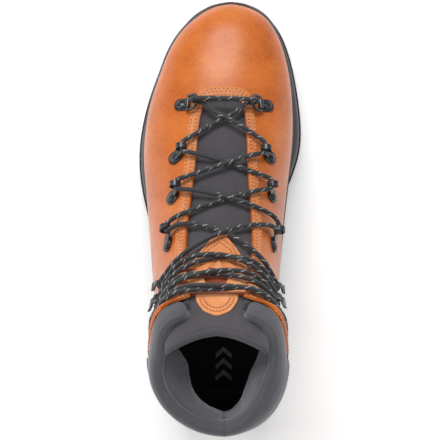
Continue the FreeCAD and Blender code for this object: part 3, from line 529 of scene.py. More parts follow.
# ---------------------------------------------------------------- CAD nodes that stay get their materials
KEEP = {"outsole": M_OUTSOLE, "shank": M_SHANK, "lasting_board": M_BOARD, "toe_puff": M_BOARD,
        "heel_stiffener": M_BOARD, "footbed": M_FOOTBED, "rubber_rand": M_RAND, "vamp_lining": M_LINING,
        "lining_heel": M_LINING, "lining_medial": M_LINING, "lining_lateral": M_LINING, "lace_tips": M_TIP}
for node_name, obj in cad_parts.items():
    material = KEEP.get(node_name)
    if material is None and any(k in node_name for k in ("ring", "loop", "hook", "rivets")):
        material = M_STEEL
    if material is not None:
        for k in range(max(1, len(obj.material_slots))):
            if k < len(obj.material_slots):
                obj.material_slots[k].material = material


# ---------------------------------------------------------------- the leather upper: vamp and both quarters
def foot_angle(a, h=0.8):
    return angle_at_height(a, ground(a) + h)


def coons(left, right, bottom, top, u, v):
    """The blend of four border curves, each giving (stations, angles)."""
    l, r, b, t = left(v), right(v), bottom(u), top(u)
    zero, one = np.zeros(1), np.ones(1)
    c00, c10, c01, c11 = bottom(zero), bottom(one), top(zero), top(one)
    return tuple((1 - u) * l[k] + u * r[k] + (1 - v) * b[k] + v * t[k] - (1 - u) * (1 - v) * c00[k][0]
                 - u * (1 - v) * c10[k][0] - (1 - u) * v * c01[k][0] - u * v * c11[k][0] for k in (0, 1))


def quarter(u, v):
    low, high = float(throat(VAMP_END)), float(foot_angle(np.array(VAMP_END)))
    return coons(lambda q: (np.full_like(q, VAMP_END), mix(low, high, q)),
                 lambda q: (edge_a(q), edge_angle(q)),
                 lambda q: (mix(VAMP_END, THROAT_TOP, q), throat(mix(VAMP_END, THROAT_TOP, q))),
                 lambda q: (mix(VAMP_END, 12.3, q), foot_angle(mix(VAMP_END, 12.3, q))), u, v)


NV, NM = 64, 12
u_vamp = np.concatenate([np.linspace(0, 1, 46) ** 1.5])
a_vamp = VAMP_END * u_vamp
inner = float(throat(VAMP_END))
foot = foot_angle(a_vamp)
v_side = np.linspace(0, 1, NV)
side_g = inner + (foot[:, None] - inner) * v_side[None, :]
mid_g = np.linspace(-inner, inner, 2 * NM + 1)[None, :] * np.ones((len(a_vamp), 1))
full_g = np.concatenate([-side_g[:, ::-1], mid_g[:, 1:-1], side_g], 1)
vamp_patch = (np.repeat(a_vamp[:, None], full_g.shape[1], 1), full_g)
uq, vq = np.meshgrid(np.linspace(0, 1, 96), v_side, indexing="ij")
qa, qg = quarter(uq, vq)
puff_noise = rng.normal(size=(12, 3)), rng.uniform(0.02, 0.06, 12), rng.uniform(0, 6.28, 12)


def smooth_step(x):
    x = np.clip(x, 0, 1)
    return x * x * (3 - 2 * x)


def leather_lift(a, g):
    """Small hand-lasted unevenness, and on the sides a swell toward the top edge that then turns inward."""
    p = skin(a, g)
    total = np.zeros(a.shape)
    for d, k, phase in zip(*puff_noise):
        total += np.sin((p @ (d / np.linalg.norm(d))) * k * 3 + phase)
    side = smooth_step((np.abs(g) - 26) / 24)
    return 0.08 * total / 3 + side * (2.4 * smooth_step(a - 15.0)
                                      - 6.6 * smooth_step((a - 16.0) / 1.05))


upper = shell("leather_upper", [vamp_patch, (qa, qg), (qa[:, ::-1], -qg[:, ::-1])], leather_lift,
              lambda a, g: leather_lift(a, g) - 2.0, 0.5)
ride(dress(upper, M_LEATHER), "leather_upper", "vamp", "quarter_medial", "quarter_lateral")


# ---------------------------------------------------------------- the midsole's sculpted side
OUTLINE = [(7.5, 154), (27, 149), (42, 134), (51.5, 110), (57, 80), (57.5, 48), (49, 21), (40.5, -4),
           (37.5, -40),
           (39.5, -85), (39, -122), (27, -146), (2, -154), (-24, -147), (-39, -122), (-42.5, -85),
           (-44, -40),
           (-51, -4), (-57.5, 28), (-57.5, 55), (-50, 88), (-35.5, 122), (-17.5, 145.5)]
OUTSOLE_TOP = [(-157, 12.5), (-100, 11.5), (-40, 10), (20, 8.3), (70, 8), (110, 9.6), (140, 13.6),
               (157, 17.5)]
SIDE = [(0.0, -0.3), (0.05, 0.0), (0.22, -0.1), (0.27, -1.3), (0.31, -1.5), (0.35, -0.5), (0.60, -0.9),
        (0.86, -1.1),
        (0.95, -1.6), (1.0, -3.0), (1.0, -9.0), (0.0, -9.0)]


def midsole_form():
    """A ring swept round the sole's outline: a drafted side with a channel, flutes and a rounded rim."""
    n = 720
    knots = np.array(OUTLINE * 3, float)
    chord = np.concatenate([[0], np.cumsum(np.linalg.norm(np.diff(knots, axis=0), axis=1))])
    count = len(OUTLINE)
    curve = [spline(list(zip(chord, knots[:, k]))) for k in (0, 1)]
    t = np.linspace(chord[count], chord[2 * count], n, endpoint=False)
    plan = np.stack([curve[0](t), curve[1](t)], -1)
    along = np.roll(plan, -1, 0) - np.roll(plan, 1, 0)
    along /= np.linalg.norm(along, axis=1)[:, None]
    out = np.stack([-along[:, 1], along[:, 0]], -1)
    low = spline(OUTSOLE_TOP)(plan[:, 1])
    rim = spline([(-158, 43.5), (-140, 42.4)] + [(float(back_y(k)),
                                                  float(back_z(k)) + 5.0) for k in range(12, 1, -1)]
                 + [(158, 35.5)])(plan[:, 1])
    share = np.linspace(0, 1, 34)
    height = np.concatenate([share, [1.0, 0.0]])
    offset = np.concatenate([np.interp(share, [q[0] for q in SIDE[:10]], [q[1] for q in SIDE[:10]]),
                             [-9.0, -9.0]])
    s = t - t[0]
    flute = smooth_step((np.sin(s * 2 * np.pi / 7.5) - 0.55) / 0.25)
    where = np.clip((np.abs(plan[:, 1] - 60) < 62).astype(float) + (plan[:, 1] < -78), 0, 1)
    wave = 0.66 + 0.10 * np.sin(s * 2 * np.pi / 150.0)
    body = np.zeros((n, len(height)))
    for i, (h, o) in enumerate(zip(height, offset)):
        groove = 0.9 * np.exp(-((h - wave) / 0.028) ** 2)
        cuts = 0.8 * flute * where * smooth_step((h - 0.36) / 0.05) * smooth_step((wave - 0.07 - h) / 0.05)
        body[:, i] = o - 1.2 - (groove + cuts) * (o > -3.5)
    sign = -1.0 if np.mean(np.sum(out * (plan - plan.mean(0)), 1)) < 0 else 1.0
    xy = plan[:, None, :] + sign * out[:, None, :] * body[..., None]
    z = low[:, None] + 0.05 + (rim - low)[:, None] * height[None, :]
    verts = np.concatenate([xy, z[..., None]], -1).reshape(-1, 3)
    obj = make("midsole_visual", verts, grid_faces(n, len(height), close_u=True, close_v=True))
    bm = bmesh.new()
    bm.from_mesh(obj.data)
    bmesh.ops.recalc_face_normals(bm, faces=bm.faces)
    bm.to_mesh(obj.data)
    bm.free()
    return obj


ride(dress(midsole_form(), M_MIDSOLE), "midsole_foam", "midsole")


# ---------------------------------------------------------------- stitches
def stitch_row(path, normals, pitch=2.7, length=1.9, radius=0.34, sink=0.12):
    """Small thread bars lying along a path; returns their vertices and faces."""
    seg = np.linalg.norm(np.diff(path, axis=0), axis=1)
    s = np.concatenate([[0], np.cumsum(seg)])
    count = max(1, int(s[-1] / pitch))
    where = (np.arange(count) + 0.5) * (s[-1] / count)
    centre = np.stack([np.interp(where, s, path[:, k]) for k in range(3)], -1)
    ahead = np.stack([np.interp(where + 0.6, s, path[:, k]) for k in range(3)], -1)
    behind = np.stack([np.interp(where - 0.6, s, path[:, k]) for k in range(3)], -1)
    up = np.stack([np.interp(where, s, normals[:, k]) for k in range(3)], -1)
    t = ahead - behind
    t /= np.linalg.norm(t, axis=1)[:, None]
    up -= np.sum(up * t, 1)[:, None] * t
    up /= np.linalg.norm(up, axis=1)[:, None]
    b = np.cross(t, up)
    along = np.array([-0.5, -0.36, 0, 0.36, 0.5]) * length
    size = np.array([0.45, 0.9, 1.0, 0.9, 0.45]) * radius
    dip = np.array([-0.30, -0.05, 0.0, -0.05, -0.30])
    ang = np.linspace(0, 2 * np.pi, 7, endpoint=False)
    verts, faces = [], []
    for c, tt, uu, bb in zip(centre, t, up, b):
        start = len(verts)
        for x, r, d in zip(along, size, dip):
            for w in ang:
                verts.append(c + tt * x + uu * (r * math.sin(w) + d + radius * 0.5 - sink) + bb * r
                             * math.cos(w))
        for f in grid_faces(5, 7, start, close_v=True):
            faces.append(list(f))
        faces.append([start + i for i in range(7)][::-1])
        faces.append([start + 28 + i for i in range(7)])
    return verts, faces


def ribbon(path, normals, width=0.95, thick=0.1):
    """A thin strip lying on a surface along a path."""
    t = np.gradient(path, axis=0)
    t /= np.linalg.norm(t, axis=1)[:, None]
    n = normals - np.sum(normals * t, 1)[:, None] * t
    n /= np.linalg.norm(n, axis=1)[:, None]
    b = np.cross(t, n) * width / 2
    ring = np.stack([path - b - n * thick, path - b + n * thick, path + b + n * thick,
                     path + b - n * thick], 1)
    k = len(path)
    faces = grid_faces(k, 4, close_v=True).tolist() + [[0, 1, 2, 3],
                                                       [4 * k - 1, 4 * k - 2, 4 * k - 3, 4 * k - 4]]
    return ring.reshape(-1, 3).tolist(), faces


class Stitches:
    """All the stitch rows of one piece, gathered into one mesh."""

    def __init__(self):
        self.verts, self.faces, self.strips = [], [], []

    def row(self, a, g, lift, surface=skin, **kw):
        a, g = np.asarray(a, float), np.asarray(g, float)
        path = surface(a, g, lift)
        normals = surface(a, g, np.asarray(lift) + 1.0) - path
        verts, faces = stitch_row(path, normals, **kw)
        shift = len(self.verts)
        self.verts += verts
        self.faces += [[i + shift for i in f] for f in faces]
        # a dark strip under each row: painted shade of the stitch groove
        self.strips.append(ribbon(path, normals))

    def free(self, path, normals, **kw):
        verts, faces = stitch_row(path, normals, **kw)
        shift = len(self.verts)
        self.verts += verts
        self.faces += [[i + shift for i in f] for f in faces]

    def build(self, name, material, slot):
        # the strips under the rows are built as one mesh coloured with the painted groove shade
        if self.strips:
            verts, faces = [], []
            for v, f in self.strips:
                faces += [[i + len(verts) for i in ring] for ring in f]
                verts += v
            ride(dress(make(name + "_groove_shade", verts, faces, False), M_GROOVE_SHADE), slot)
        return ride(dress(make(name, self.verts, self.faces), material), slot)


def band_piece(name, side):
    u, v = np.meshgrid(np.linspace(0, 1, 110), np.linspace(0, 1, 9), indexing="ij")
    a = mix(VAMP_END + 0.02, 12.2, u)
    g = side * throat(a, mix(0.4, 6.2, v))
    if side < 0:
        a, g = a[:, ::-1], g[:, ::-1]
    return shell(name, [(a, g)], lambda a, g: 0.62 + 0.22 * np.sin(np.pi * v) ** 0.6, -0.1, 0.3)


for name, side in (("medial", 1), ("lateral", -1)):
    ride(dress(band_piece("throat_band_visual_" + name, side), M_BAND), "leather_upper",
         "throat_band_" + name)
u, v = np.meshgrid(np.linspace(0, 1, 10), np.linspace(-1, 1, 41), indexing="ij")
fa = mix(VAMP_END - 0.42 + 0.25 * np.abs(v) ** 3, VAMP_END - 0.03, u)
fg = angle_at_width(fa, v * (throat_half(VAMP_END) + 6.0) + 1e-6)
front_band = shell("throat_band_visual_front", [(fa, fg)], lambda a,
                   g: 0.62 + 0.22 * np.sin(np.pi * u) ** 0.6, -0.1, 0.3)
ride(dress(front_band, M_BAND), "leather_upper", "throat_band_front")

seams = Stitches()
s = np.linspace(0, 1, 400)
for side in (1, -1):
    for more in (1.3, 2.5, 5.2):
        a = mix(VAMP_END + 0.1, 12.1, s)
        seams.row(a, side * throat(a, more), 0.78)
for k in (0.22, 0.5, 0.8):
    a = mix(VAMP_END - 0.42 + 0.25 * np.abs(2 * s - 1) ** 3, VAMP_END - 0.03, k)
    seams.row(a, angle_at_width(a, (2 * s - 1) * (throat_half(VAMP_END) + 5.0 - 3.0 * k) + 1e-6), 0.78)
for side in (1, -1):
    for inset in (0.09, 0.19):
        t = np.linspace(0.03, 0.98, 500)
        seams.row(edge_a(t) - inset * np.cos(np.pi * t * 0.5),
                  side * (edge_angle(t) - 26 * inset * np.sin(np.pi * t * 0.5)), 0.05)
for inset in (0.06, 0.12):
    t = np.linspace(0.02, 0.98, 300)
    arc = np.sin(np.pi * t) ** 0.8
    top = mix(13.6, 15.3, arc) - 0.9 * inset * 2
    side_angle = mix(122, float(angle_at_height(12.0, ground(12.0) + 16.5)), inset)
    seams.row(top, mix(side_angle, 360 - side_angle, t), 0.72)
seams.build("upper_stitching", M_THREAD, "leather_upper")


# ---------------------------------------------------------------- heel textile and heel leather
u, v = np.meshgrid(np.linspace(0, 1, 80), np.linspace(0, 1, 46), indexing="ij")
way = 0.55 + 0.45 * v
bulge = np.sin(np.pi * u)
heel_a = mix(edge_a(way), mix(17.85, float(rim_station(0.8)), v), np.where(v < 0.5, bulge ** 0.35, bulge))
heel_side = edge_angle(way) - 2.5
heel_g = mix(heel_side, 360 - heel_side, u)


def textile_lift(a, g):
    """The ribbed textile swells over the ankle padding and turns in at the rim, more on the medial side."""
    inside = 3.0 + 5.5 * smooth_step((185 - g) / 25)
    swell = mix(2.4, 3.4, np.exp(-((g - 135) / 35) ** 2))
    return swell * smooth_step((a - 15.0) / 1.0) - inside * smooth_step((a - 16.6) / 1.4)


textile = shell("heel_textile_visual", [(heel_a[:, ::-1], heel_g[:, ::-1])],
                lambda a, g: textile_lift(a, g) - 0.35, lambda a, g: textile_lift(a, g) - 1.9, 0.3)
ride(dress(textile, M_RIB), "textile_grey", "heel_textile_panel")

bulge = np.where((u > 0) & (u < 1), np.sin(np.pi * np.clip(u, 1e-9, 1 - 1e-9)) ** 0.8, 0.0)
top_a, foot_a = mix(13.6, 15.3, bulge), mix(12.0, float(rim_station(16.5)), bulge)
start = mix(122, float(angle_at_height(12.0, ground(12.0) + 16.5)), v)
counter = shell("heel_counter_visual", [(mix(top_a, foot_a, v)[:, ::-1],
                                         mix(start, 360 - start, u)[:, ::-1])], 0.75, -0.4, 0.4)
ride(dress(counter, M_LEATHER), "leather_upper", "heel_counter_leather")


# ---------------------------------------------------------------- the sleeve of lining inside
SLEEVE_IN, SLEEVE_THICK, SLEEVE_FLARE = 4.1, 1.6, 6.0    # depth under the skin, thickness, draw-in at the top


def sleeve_lift(a):
    return -SLEEVE_IN - SLEEVE_FLARE * smooth_step((a - 15.6) / 1.4)


u, v = np.meshgrid(np.linspace(0, 1, 90), np.linspace(0, 1, 130), indexing="ij")
sleeve_a = mix(3.0, 17.2, u)
sleeve_start = throat(np.clip(sleeve_a, VAMP_END, 18), 2.5)
sleeve_g = mix(sleeve_start, 360 - sleeve_start, v)
sleeve = shell("lining_sleeve", [(sleeve_a, sleeve_g)], lambda a, g: sleeve_lift(a),
               lambda a, g: sleeve_lift(a) - SLEEVE_THICK, 0)
ride(dress(sleeve, M_LINING), "lining_dark", "lining_medial", "lining_lateral", "lining_heel")


# ---------------------------------------------------------------- the padded collar
collar_in = spline([(-180, -1.6), (-140, -1.0), (-105, -2.4), (-85, -5.0), (-62, -7.0), (-40, -5.4),
                    (-15, -2.0),
                    (15, -2.0), (40, -5.4), (62, -7.4), (85, -7.0), (105, -8.4), (140, -7.8), (165, -3.8),
                    (180, -1.6)])
belly = spline([(-180, 0.35), (-150, 1.2), (-120, 2.1), (-90, 2.4), (0, 1.4), (90, 0.8), (130, 0.6),
                (180, 0.35)])
ROLL = [(15, -1.0), (11, 0.0), (7, 0.4), (3.5, 0.1), (1.2, -0.9), (-0.3, -2.6), (-0.7, -4.5), (-0.2, -6.3),
        (1.0, -7.8),
        (2.6, -8.9), (4.2, -9.6), (9, -11.6), (16, -14.0), (24, -15.4), (32, -14.8), (40, -12.0),
        (46, -8.2), (45, -6.4),
        (36, -6.6), (26, -6.4), (18, -4.4)]


def sweep_roll(name, profile, a_top, n=300, m=96, ends=0.035):
    """A padded roll round the ankle from one front tip to the other, with rounded ends."""
    t = np.linspace(-1, 1, n)
    tip = throat_top_angle + 1.5
    angle = np.where(t < 0, mix(180, tip, -t), mix(180, 360 - tip, t))
    signed = np.where(angle > 180, angle - 360, angle)
    half = np.abs(signed)
    rim, below = skin(a_top, angle), skin(a_top - 1, angle)
    down = (below - rim) / np.linalg.norm(below - rim, axis=1)[:, None]
    out = skin(a_top - 0.5, angle, 1.0) - skin(a_top - 0.5, angle)
    out -= np.sum(out * down, 1)[:, None] * down
    out /= np.linalg.norm(out, axis=1)[:, None]
    k = np.linspace(0, len(profile), m, endpoint=False)
    d = np.interp(k, np.arange(len(profile) + 1), [c[0] for c in profile] + [profile[0][0]])
    l = np.interp(k, np.arange(len(profile) + 1), [c[1] for c in profile] + [profile[0][1]])
    for _ in range(4):
        d = (np.roll(d, 1) + 2 * d + np.roll(d, -1)) / 4
        l = (np.roll(l, 1) + 2 * l + np.roll(l, -1)) / 4
    end = np.clip((1 - np.abs(t)) / ends, 0, 1)
    plump = np.sqrt(np.clip(1 - (1 - end) ** 2, 0.0006, 1))
    deep = mix(0.10, 1.0, smooth_step((half - 34) / 80))
    depth = np.where(d[None, :] > 4, 4 + (d[None, :] - 4) * deep[:, None], d[None, :])
    bulge = deep * belly(signed)
    inward = np.where(l[None, :] < -9.6, -9.6 + (l[None, :] + 9.6) * bulge[:, None], l[None, :])
    outer = (np.arange(m) < m * 5.5 / len(profile))[None, :]
    reach = 1 + 0.9 * (1 - smooth_step((half - 38) / 34))
    depth = np.where(outer, depth * reach[:, None], depth)
    inward = -4.6 + (inward + 4.6) * plump[:, None]
    depth = 4 + (depth - 4) * plump[:, None]
    hold = np.where(outer, np.clip(1.0 - (depth - 0.5) / 13.0, 0.25, 1.0), 1.0)
    lift = inward + collar_in(signed)[:, None] * hold
    verts = rim[:, None, :] + down[:, None, :] * depth[..., None] + out[:, None, :] * lift[..., None]
    faces = grid_faces(n, m, close_v=True).tolist()
    faces += [list(range(m)), [(n - 1) * m + i for i in range(m)][::-1]]
    obj = make(name, verts.reshape(-1, 3), faces)
    bm = bmesh.new()
    bm.from_mesh(obj.data)
    bmesh.ops.recalc_face_normals(bm, faces=bm.faces)
    bm.to_mesh(obj.data)
    bm.free()
    return obj, verts


def coords(mesh):
    co = np.empty(len(mesh.vertices) * 3)
    mesh.vertices.foreach_get("co", co)
    return co.reshape(-1, 3)


def puff(obj, pressure, cap, voxel=4.0, grow=0.05, hold=None):
    """Inflates a remeshed copy as cloth and gives the piece the capped, smoothed result."""
    scene = bpy.context.scene
    copy = obj.copy()
    copy.data = obj.data.copy()
    scene.collection.objects.link(copy)
    mod = copy.modifiers.new("remesh", "REMESH")
    mod.mode = "VOXEL"
    mod.voxel_size = voxel * MM
    dg = bpy.context.evaluated_depsgraph_get()
    copy.data = bpy.data.meshes.new_from_object(copy.evaluated_get(dg))
    copy.modifiers.clear()
    rest = coords(copy.data)
    cloth = copy.modifiers.new("cloth", "CLOTH")
    cloth.settings.quality = 6
    cloth.settings.use_pressure = True
    cloth.settings.uniform_pressure_force = pressure
    cloth.settings.shrink_min = -grow
    cloth.settings.bending_stiffness = 0.4
    cloth.settings.effector_weights.gravity = 0
    if hold is not None:
        group = copy.vertex_groups.new(name="hold")
        group.add([i for i, p in enumerate(rest) if hold(p / MM)], 1.0, "REPLACE")
        cloth.settings.vertex_group_mass = "hold"
    scene.frame_start, scene.frame_end = 1, 20
    for f in range(1, 21):
        scene.frame_set(f)
    moved = coords(copy.evaluated_get(bpy.context.evaluated_depsgraph_get()).data) - rest
    size = np.linalg.norm(moved, axis=1)[:, None]
    moved *= np.minimum(1.0, cap * MM / np.maximum(size, 1e-9))
    tree = KDTree(len(rest))
    for i, p in enumerate(rest):
        tree.insert(p, i)
    tree.balance()
    own = coords(obj.data)
    for i, p in enumerate(own):
        near = tree.find_n(p, 5)
        w = np.array([1 / (q[2] + 0.4 * voxel * MM) ** 2 for q in near])
        own[i] += (w[:, None] * moved[[q[1] for q in near]]).sum(0) / w.sum()
    obj.data.vertices.foreach_set("co", own.ravel())
    obj.data.update()
    mesh = copy.data
    bpy.data.objects.remove(copy)
    bpy.data.meshes.remove(mesh)
    scene.frame_set(1)


def pinch(obj, path, width, depth):
    """Presses a sewn channel along a path into a padded piece."""
    tree = KDTree(len(path))
    for i, p in enumerate(path * MM):
        tree.insert(p, i)
    tree.balance()
    normal = [v.normal.copy() for v in obj.data.vertices]
    for v, n in zip(obj.data.vertices, normal):
        d = tree.find(v.co)[2] / MM
        if d < 3 * width:
            v.co -= n * (depth * MM * math.exp(-(d / width) ** 2))
    obj.data.update()


def settle(obj, path):
    """The path laid on the piece's surface, with the outward normals there."""
    bm = bmesh.new()
    bm.from_mesh(obj.data)
    tree = BVHTree.FromBMesh(bm)
    found = [tree.find_nearest(Vector(p * MM)) for p in path]
    bm.free()
    return np.array([np.array(f[0]) / MM for f in found]), np.array([np.array(f[1]) for f in found])


collar, roll = sweep_roll("collar_pad_visual", ROLL, 18.0)
puff(collar, 3.0, 1.2, 4.0, 0.06)
creases = coords(collar.data) / MM
bend = np.zeros(len(creases))
for d, k, phase in zip(rng.normal(size=(9, 3)), rng.uniform(0.12, 0.42, 9), rng.uniform(0, 6.28, 9)):
    bend += np.sin((creases @ (d * np.array([1, 1, 0.35]) / np.linalg.norm(d))) * k + phase) ** 3
row_share = np.tile(np.interp(np.arange(96), [0, 40, 50, 60, 80, 95], [0.15, 0.15, 0.6, 1.0, 1.0, 0.2]),
                    300)
for v, b, share in zip(collar.data.vertices, bend, row_share):
    v.co += v.normal * (0.28 * b * share * MM)
ride(dress(collar, M_NUBUCK), "nubuck_grey", "collar_pad_medial", "collar_pad_lateral")
seam_rows = {"inner": int(96 * 9.6 / 21), "outer": int(96 * 7.3 / 21)}
grey_seams = Stitches()
for key, row in seam_rows.items():
    path = roll[4:-4, row]
    pinch(collar, path, 0.9, 0.75 if key == "inner" else 0.35)
    spot, normal = settle(collar, path)
    grey_seams.free(spot, normal, pitch=2.6, length=1.9, radius=0.22)
heel_path = roll[150, 12:66]
pinch(collar, heel_path, 0.9, 0.6)
spot, normal = settle(collar, heel_path)
grey_seams.free(spot, normal, pitch=2.4, length=1.6, radius=0.25)


# ---------------------------------------------------------------- the tongue
T_FRONT = FRONT[:14] + [(-46.7, 156.1), (-52.2, 161.6), (-57.6, 167.2), (-63.4, 172.8), (-70.4, 178.6),
                        (-78.8, 183.3), (-87.5, 186.2)]
T_BACK = BACK[:14] + [(-149, 67), (-146, 80), (-141, 92), (-130, 91), (-120, 90), (-113, 91), (-112, 90)]
t_front_y = spline([(i, p[0]) for i, p in enumerate(T_FRONT)], True)
t_front_z = spline([(i, p[1]) for i, p in enumerate(T_FRONT)])
t_back_y = spline([(i, p[0]) for i, p in enumerate(T_BACK)], True)
t_back_z = spline([(i, p[1]) for i, p in enumerate(T_BACK)], True)
t_width = spline([(0, 0), (5, 45.6), (8, 51.2), (10, 45.8), (12, 41.1), (14, 40.4), (15, 40.2), (16, 40),
                  (18, 39.5), (20, 39)])


def tongue_skin(a, x, lift=0.0):
    """The tongue's surface at station a, x millimetres medial of its middle."""
    a, x, lift = np.broadcast_arrays(np.asarray(a, float), np.asarray(x, float), np.asarray(lift, float))
    fy, fz, by, bz = t_front_y(a), t_front_z(a), t_back_y(a), t_back_z(a)
    length = np.hypot(fy - by, fz - bz)
    width = t_width(a)
    low_a = np.minimum(a, 18)
    e = round_front(low_a)
    drop = 1 - (1 - np.minimum(0.999, np.abs(x) / width) ** e) ** (1 / e)
    t = (1 + lift / length) * (1 - (1 - widest(low_a)) * drop)
    return np.stack([ridge_x(low_a) + x * (1 + lift / width * 0.6), by + t * (fy - by),
                     bz + t * (fz - bz)], -1)


TONGUE_END = 20.0


def tongue_top(x, inset=0.0):
    """The station of the tongue's arched top edge, inset millimetres below it."""
    return TONGUE_END - 1.5 * (1 - np.minimum(1, np.abs(x) / 34.0) ** 1.7) - inset / 8.0


def tongue_form():
    """The padded tongue: crowned, thinner at its edges, with an arched, folded top edge."""
    n, m = 190, 72
    ring = np.linspace(0, 2 * np.pi, m, endpoint=False)
    cx, cz = np.cos(ring), np.sin(ring)
    share = np.sign(cx) * np.abs(cx) ** 0.55
    verts = []
    for i in range(n):
        f = i / (n - 1)
        a = 5.6 + (TONGUE_END - 5.6) * f
        x = tongue_half(a) * share
        a_here = 5.6 + (tongue_top(x) - 5.6) * f
        thick = 2.2 * (1 + 0.35 * np.clip((a - 15) / 4, 0, 1))
        end = min(1.0, (1 - f) * 14.4 / 0.42, f * 14.4 / 0.3)
        z = np.sign(cz) * np.abs(cz) ** 0.55 * thick * math.sqrt(max(0.0, 1 - (1 - end) ** 2))
        spread = 4.2 * smooth_step((a_here - 17.6) / 2.0) * np.abs(x / 33.0) ** 2.2
        verts.append(tongue_skin(a_here, x, -5.4 + z + spread))
    faces = grid_faces(n, m, close_v=True).tolist()
    faces += [list(range(m)), [(n - 1) * m + i for i in range(m)][::-1]]
    obj = make("tongue_pad_visual", np.concatenate(verts), faces)
    bm = bmesh.new()
    bm.from_mesh(obj.data)
    bmesh.ops.recalc_face_normals(bm, faces=bm.faces)
    bm.to_mesh(obj.data)
    bm.free()
    return obj


tongue = tongue_form()
puff(tongue, 2.0, 0.9, 4.0, 0.03, lambda p: p[1] > -20)
ride(dress(tongue, M_TONGUE), "nubuck_grey", "tongue_pad")
x_row = np.linspace(-31.5, 31.5, 200)
path = tongue_skin(tongue_top(x_row, 3.9), x_row, -3.0)
pinch(tongue, path, 0.9, 0.55)
spot, normal = settle(tongue, path)
grey_seams.free(spot, normal, pitch=2.3, length=1.7, radius=0.3)
grey_seams.build("padding_stitching", M_THREAD_GREY, "nubuck_grey")


def tongue_sheet(name, start, end, half, high, low, nu=40, nv=40, bevel=0.3, **kw):
    u, v = np.meshgrid(np.linspace(0, 1, nu), np.linspace(-1, 1, nv), indexing="ij")
    a = mix(start, end, u)
    return shell(name, [(a, v * half(a))], high, low, bevel, tongue_skin)


shield_half = spline([(10.3, 1.6), (10.6, 5.8), (11, 11.4), (11.5, 16.4), (12.1, 20.4)])
patch_half = spline([(14.6, 14), (15.4, 13.2), (16.1, 10.6), (16.6, 7), (16.85, 3)])
shield = tongue_sheet("tongue_shield_visual", 10.3, 12.1, shield_half, -1.5, -3.4)
ride(dress(shield, M_PATCH), "leather_upper", "tongue_shield")
flex = tongue_sheet("tongue_flex_visual", 12.0, 14.55, lambda a: np.full_like(a, 19.5),
                    lambda a, x: -2.0 + 0.3 * np.sin(a * 9), -3.6, 60, 50)
ride(dress(flex, M_FLEX), "flex_red", "tongue_flex_panel")
patch = tongue_sheet("tongue_patch_visual", 14.6, 16.95, patch_half, -0.9, -4.2)
ride(dress(patch, M_PATCH), "leather_upper", "tongue_top_patch")


def between(name, a0, a1, left, right, high, low=-3.6, nu=18, nv=24, material=None, surface=None,
            bevel=0.25):
    """A leather piece on the tongue between two side lines, each a function of the share along it."""
    u, v = np.meshgrid(np.linspace(0, 1, nu), np.linspace(0, 1, nv), indexing="ij")
    x = mix(left(u), right(u), v)
    obj = shell(name, [(mix(a0, a1, u), x)], high, low, bevel, surface or tongue_skin)
    return ride(dress(obj, material or M_PATCH), "leather_upper")


def line(p, q):
    return lambda u: mix(p, q, u)


def fan(a, x):
    """Pleats that spread from the middle of the tongue."""
    return 0.28 * np.abs(np.sin(np.arctan2(x, (a - 9.6) * 9) * 13))


between("flex_flap_lateral", 11.5, 12.6, line(-2.2, -20.5), line(-0.8, -10.5), lambda a,
        x: -0.9 + fan(a, x))
between("flex_flap_medial", 11.5, 12.6, line(0.8, 10.5), line(2.2, 20.5), lambda a, x: -0.9 + fan(a, x))
between("flex_tab_middle", 11.62, 12.5, line(-0.4, -3.6), line(0.4, 3.6), -0.55, material=M_TAB)
between("flex_panel_lateral", 13.0, 14.25, line(-20.5, -18.5), line(-9.5, -3.2), lambda a,
        x: -0.9 + fan(a, x))
between("flex_panel_medial", 13.0, 14.25, line(7.0, 3.0), line(20.5, 18.5), lambda a, x: -0.9 + fan(a, x))
between("flex_tab_lateral", 13.0, 13.9, line(-12.5, -10.0), line(-9.0, -8.6), -0.5, material=M_TAB)
between("flex_tab_medial", 13.1, 14.1, line(13.5, 13.2), line(14.6, 18.0), -0.5, material=M_TAB)


def ankle_piece(name, side, a0, a1, x0, x1, high, taper=0.0, material=None):
    u, v = np.meshgrid(np.linspace(0, 1, 26), np.linspace(0, 1, 22), indexing="ij")
    a = mix(a0, a1, u)
    more = mix(x0 + taper * (1 - u), x1 - taper * (1 - u), v)
    g = side * throat(a, more)
    if side < 0:
        a, g = a[:, ::-1], g[:, ::-1]
    ride(dress(shell(name, [(a, g)], high, -0.1, 0.25), material or M_PATCH), "leather_upper")


def pleats(a, g):
    return 0.75 + 0.35 * np.abs(np.sin(g * 0.62 + a * 2.0))


for name, side in (("medial", 1), ("lateral", -1)):
    ankle_piece("ankle_pleats_" + name, side, 12.35, 13.3, 0.3, 11.5, pleats)
    ankle_piece("ankle_tab_" + name, side, 12.5, 13.35, 3.2, 8.8, 1.5, 2.6, M_TAB)
    ankle_piece("ankle_pleats_upper_" + name, side, 13.6, 14.5, 0.3, 10.5, pleats)
    ankle_piece("ankle_tab_upper_" + name, side, 13.7, 14.55, 1.6, 7.0, 1.5, 2.4, M_TAB)

shield_seam = Stitches()
for k in (0.80, 0.62):
    t = np.linspace(-1, 1, 240)
    a = mix(10.55, 12.0, np.abs(t) ** 1.3) + (0.8 - k) * 1.2
    shield_seam.row(a, np.sign(t) * shield_half(np.clip(a, 10.3, 12.1)) * k * np.minimum(1, np.abs(t) * 3),
                    -1.45, tongue_skin,
                    pitch=2.2, length=1.4, radius=0.26)
for k in (0.84, 0.66):
    t = np.radians(np.linspace(-80, 80, 160))
    shield_seam.row(14.7 + 2.2 * k * np.cos(t), 13.6 * k * np.sin(t), -0.85, tongue_skin, pitch=2.2,
                    length=1.3, radius=0.28)
shield_seam.build("tongue_stitching", M_THREAD, "leather_upper")


# ---------------------------------------------------------------- the chevron motif on the footbed
MOTIF_X, MOTIF_Y, MOTIF_GAP = 2.5, -92, 8.0
MOTIF_STEP, MOTIF_BAR, MOTIF_FILL = 1.15, 3.4, 0.82


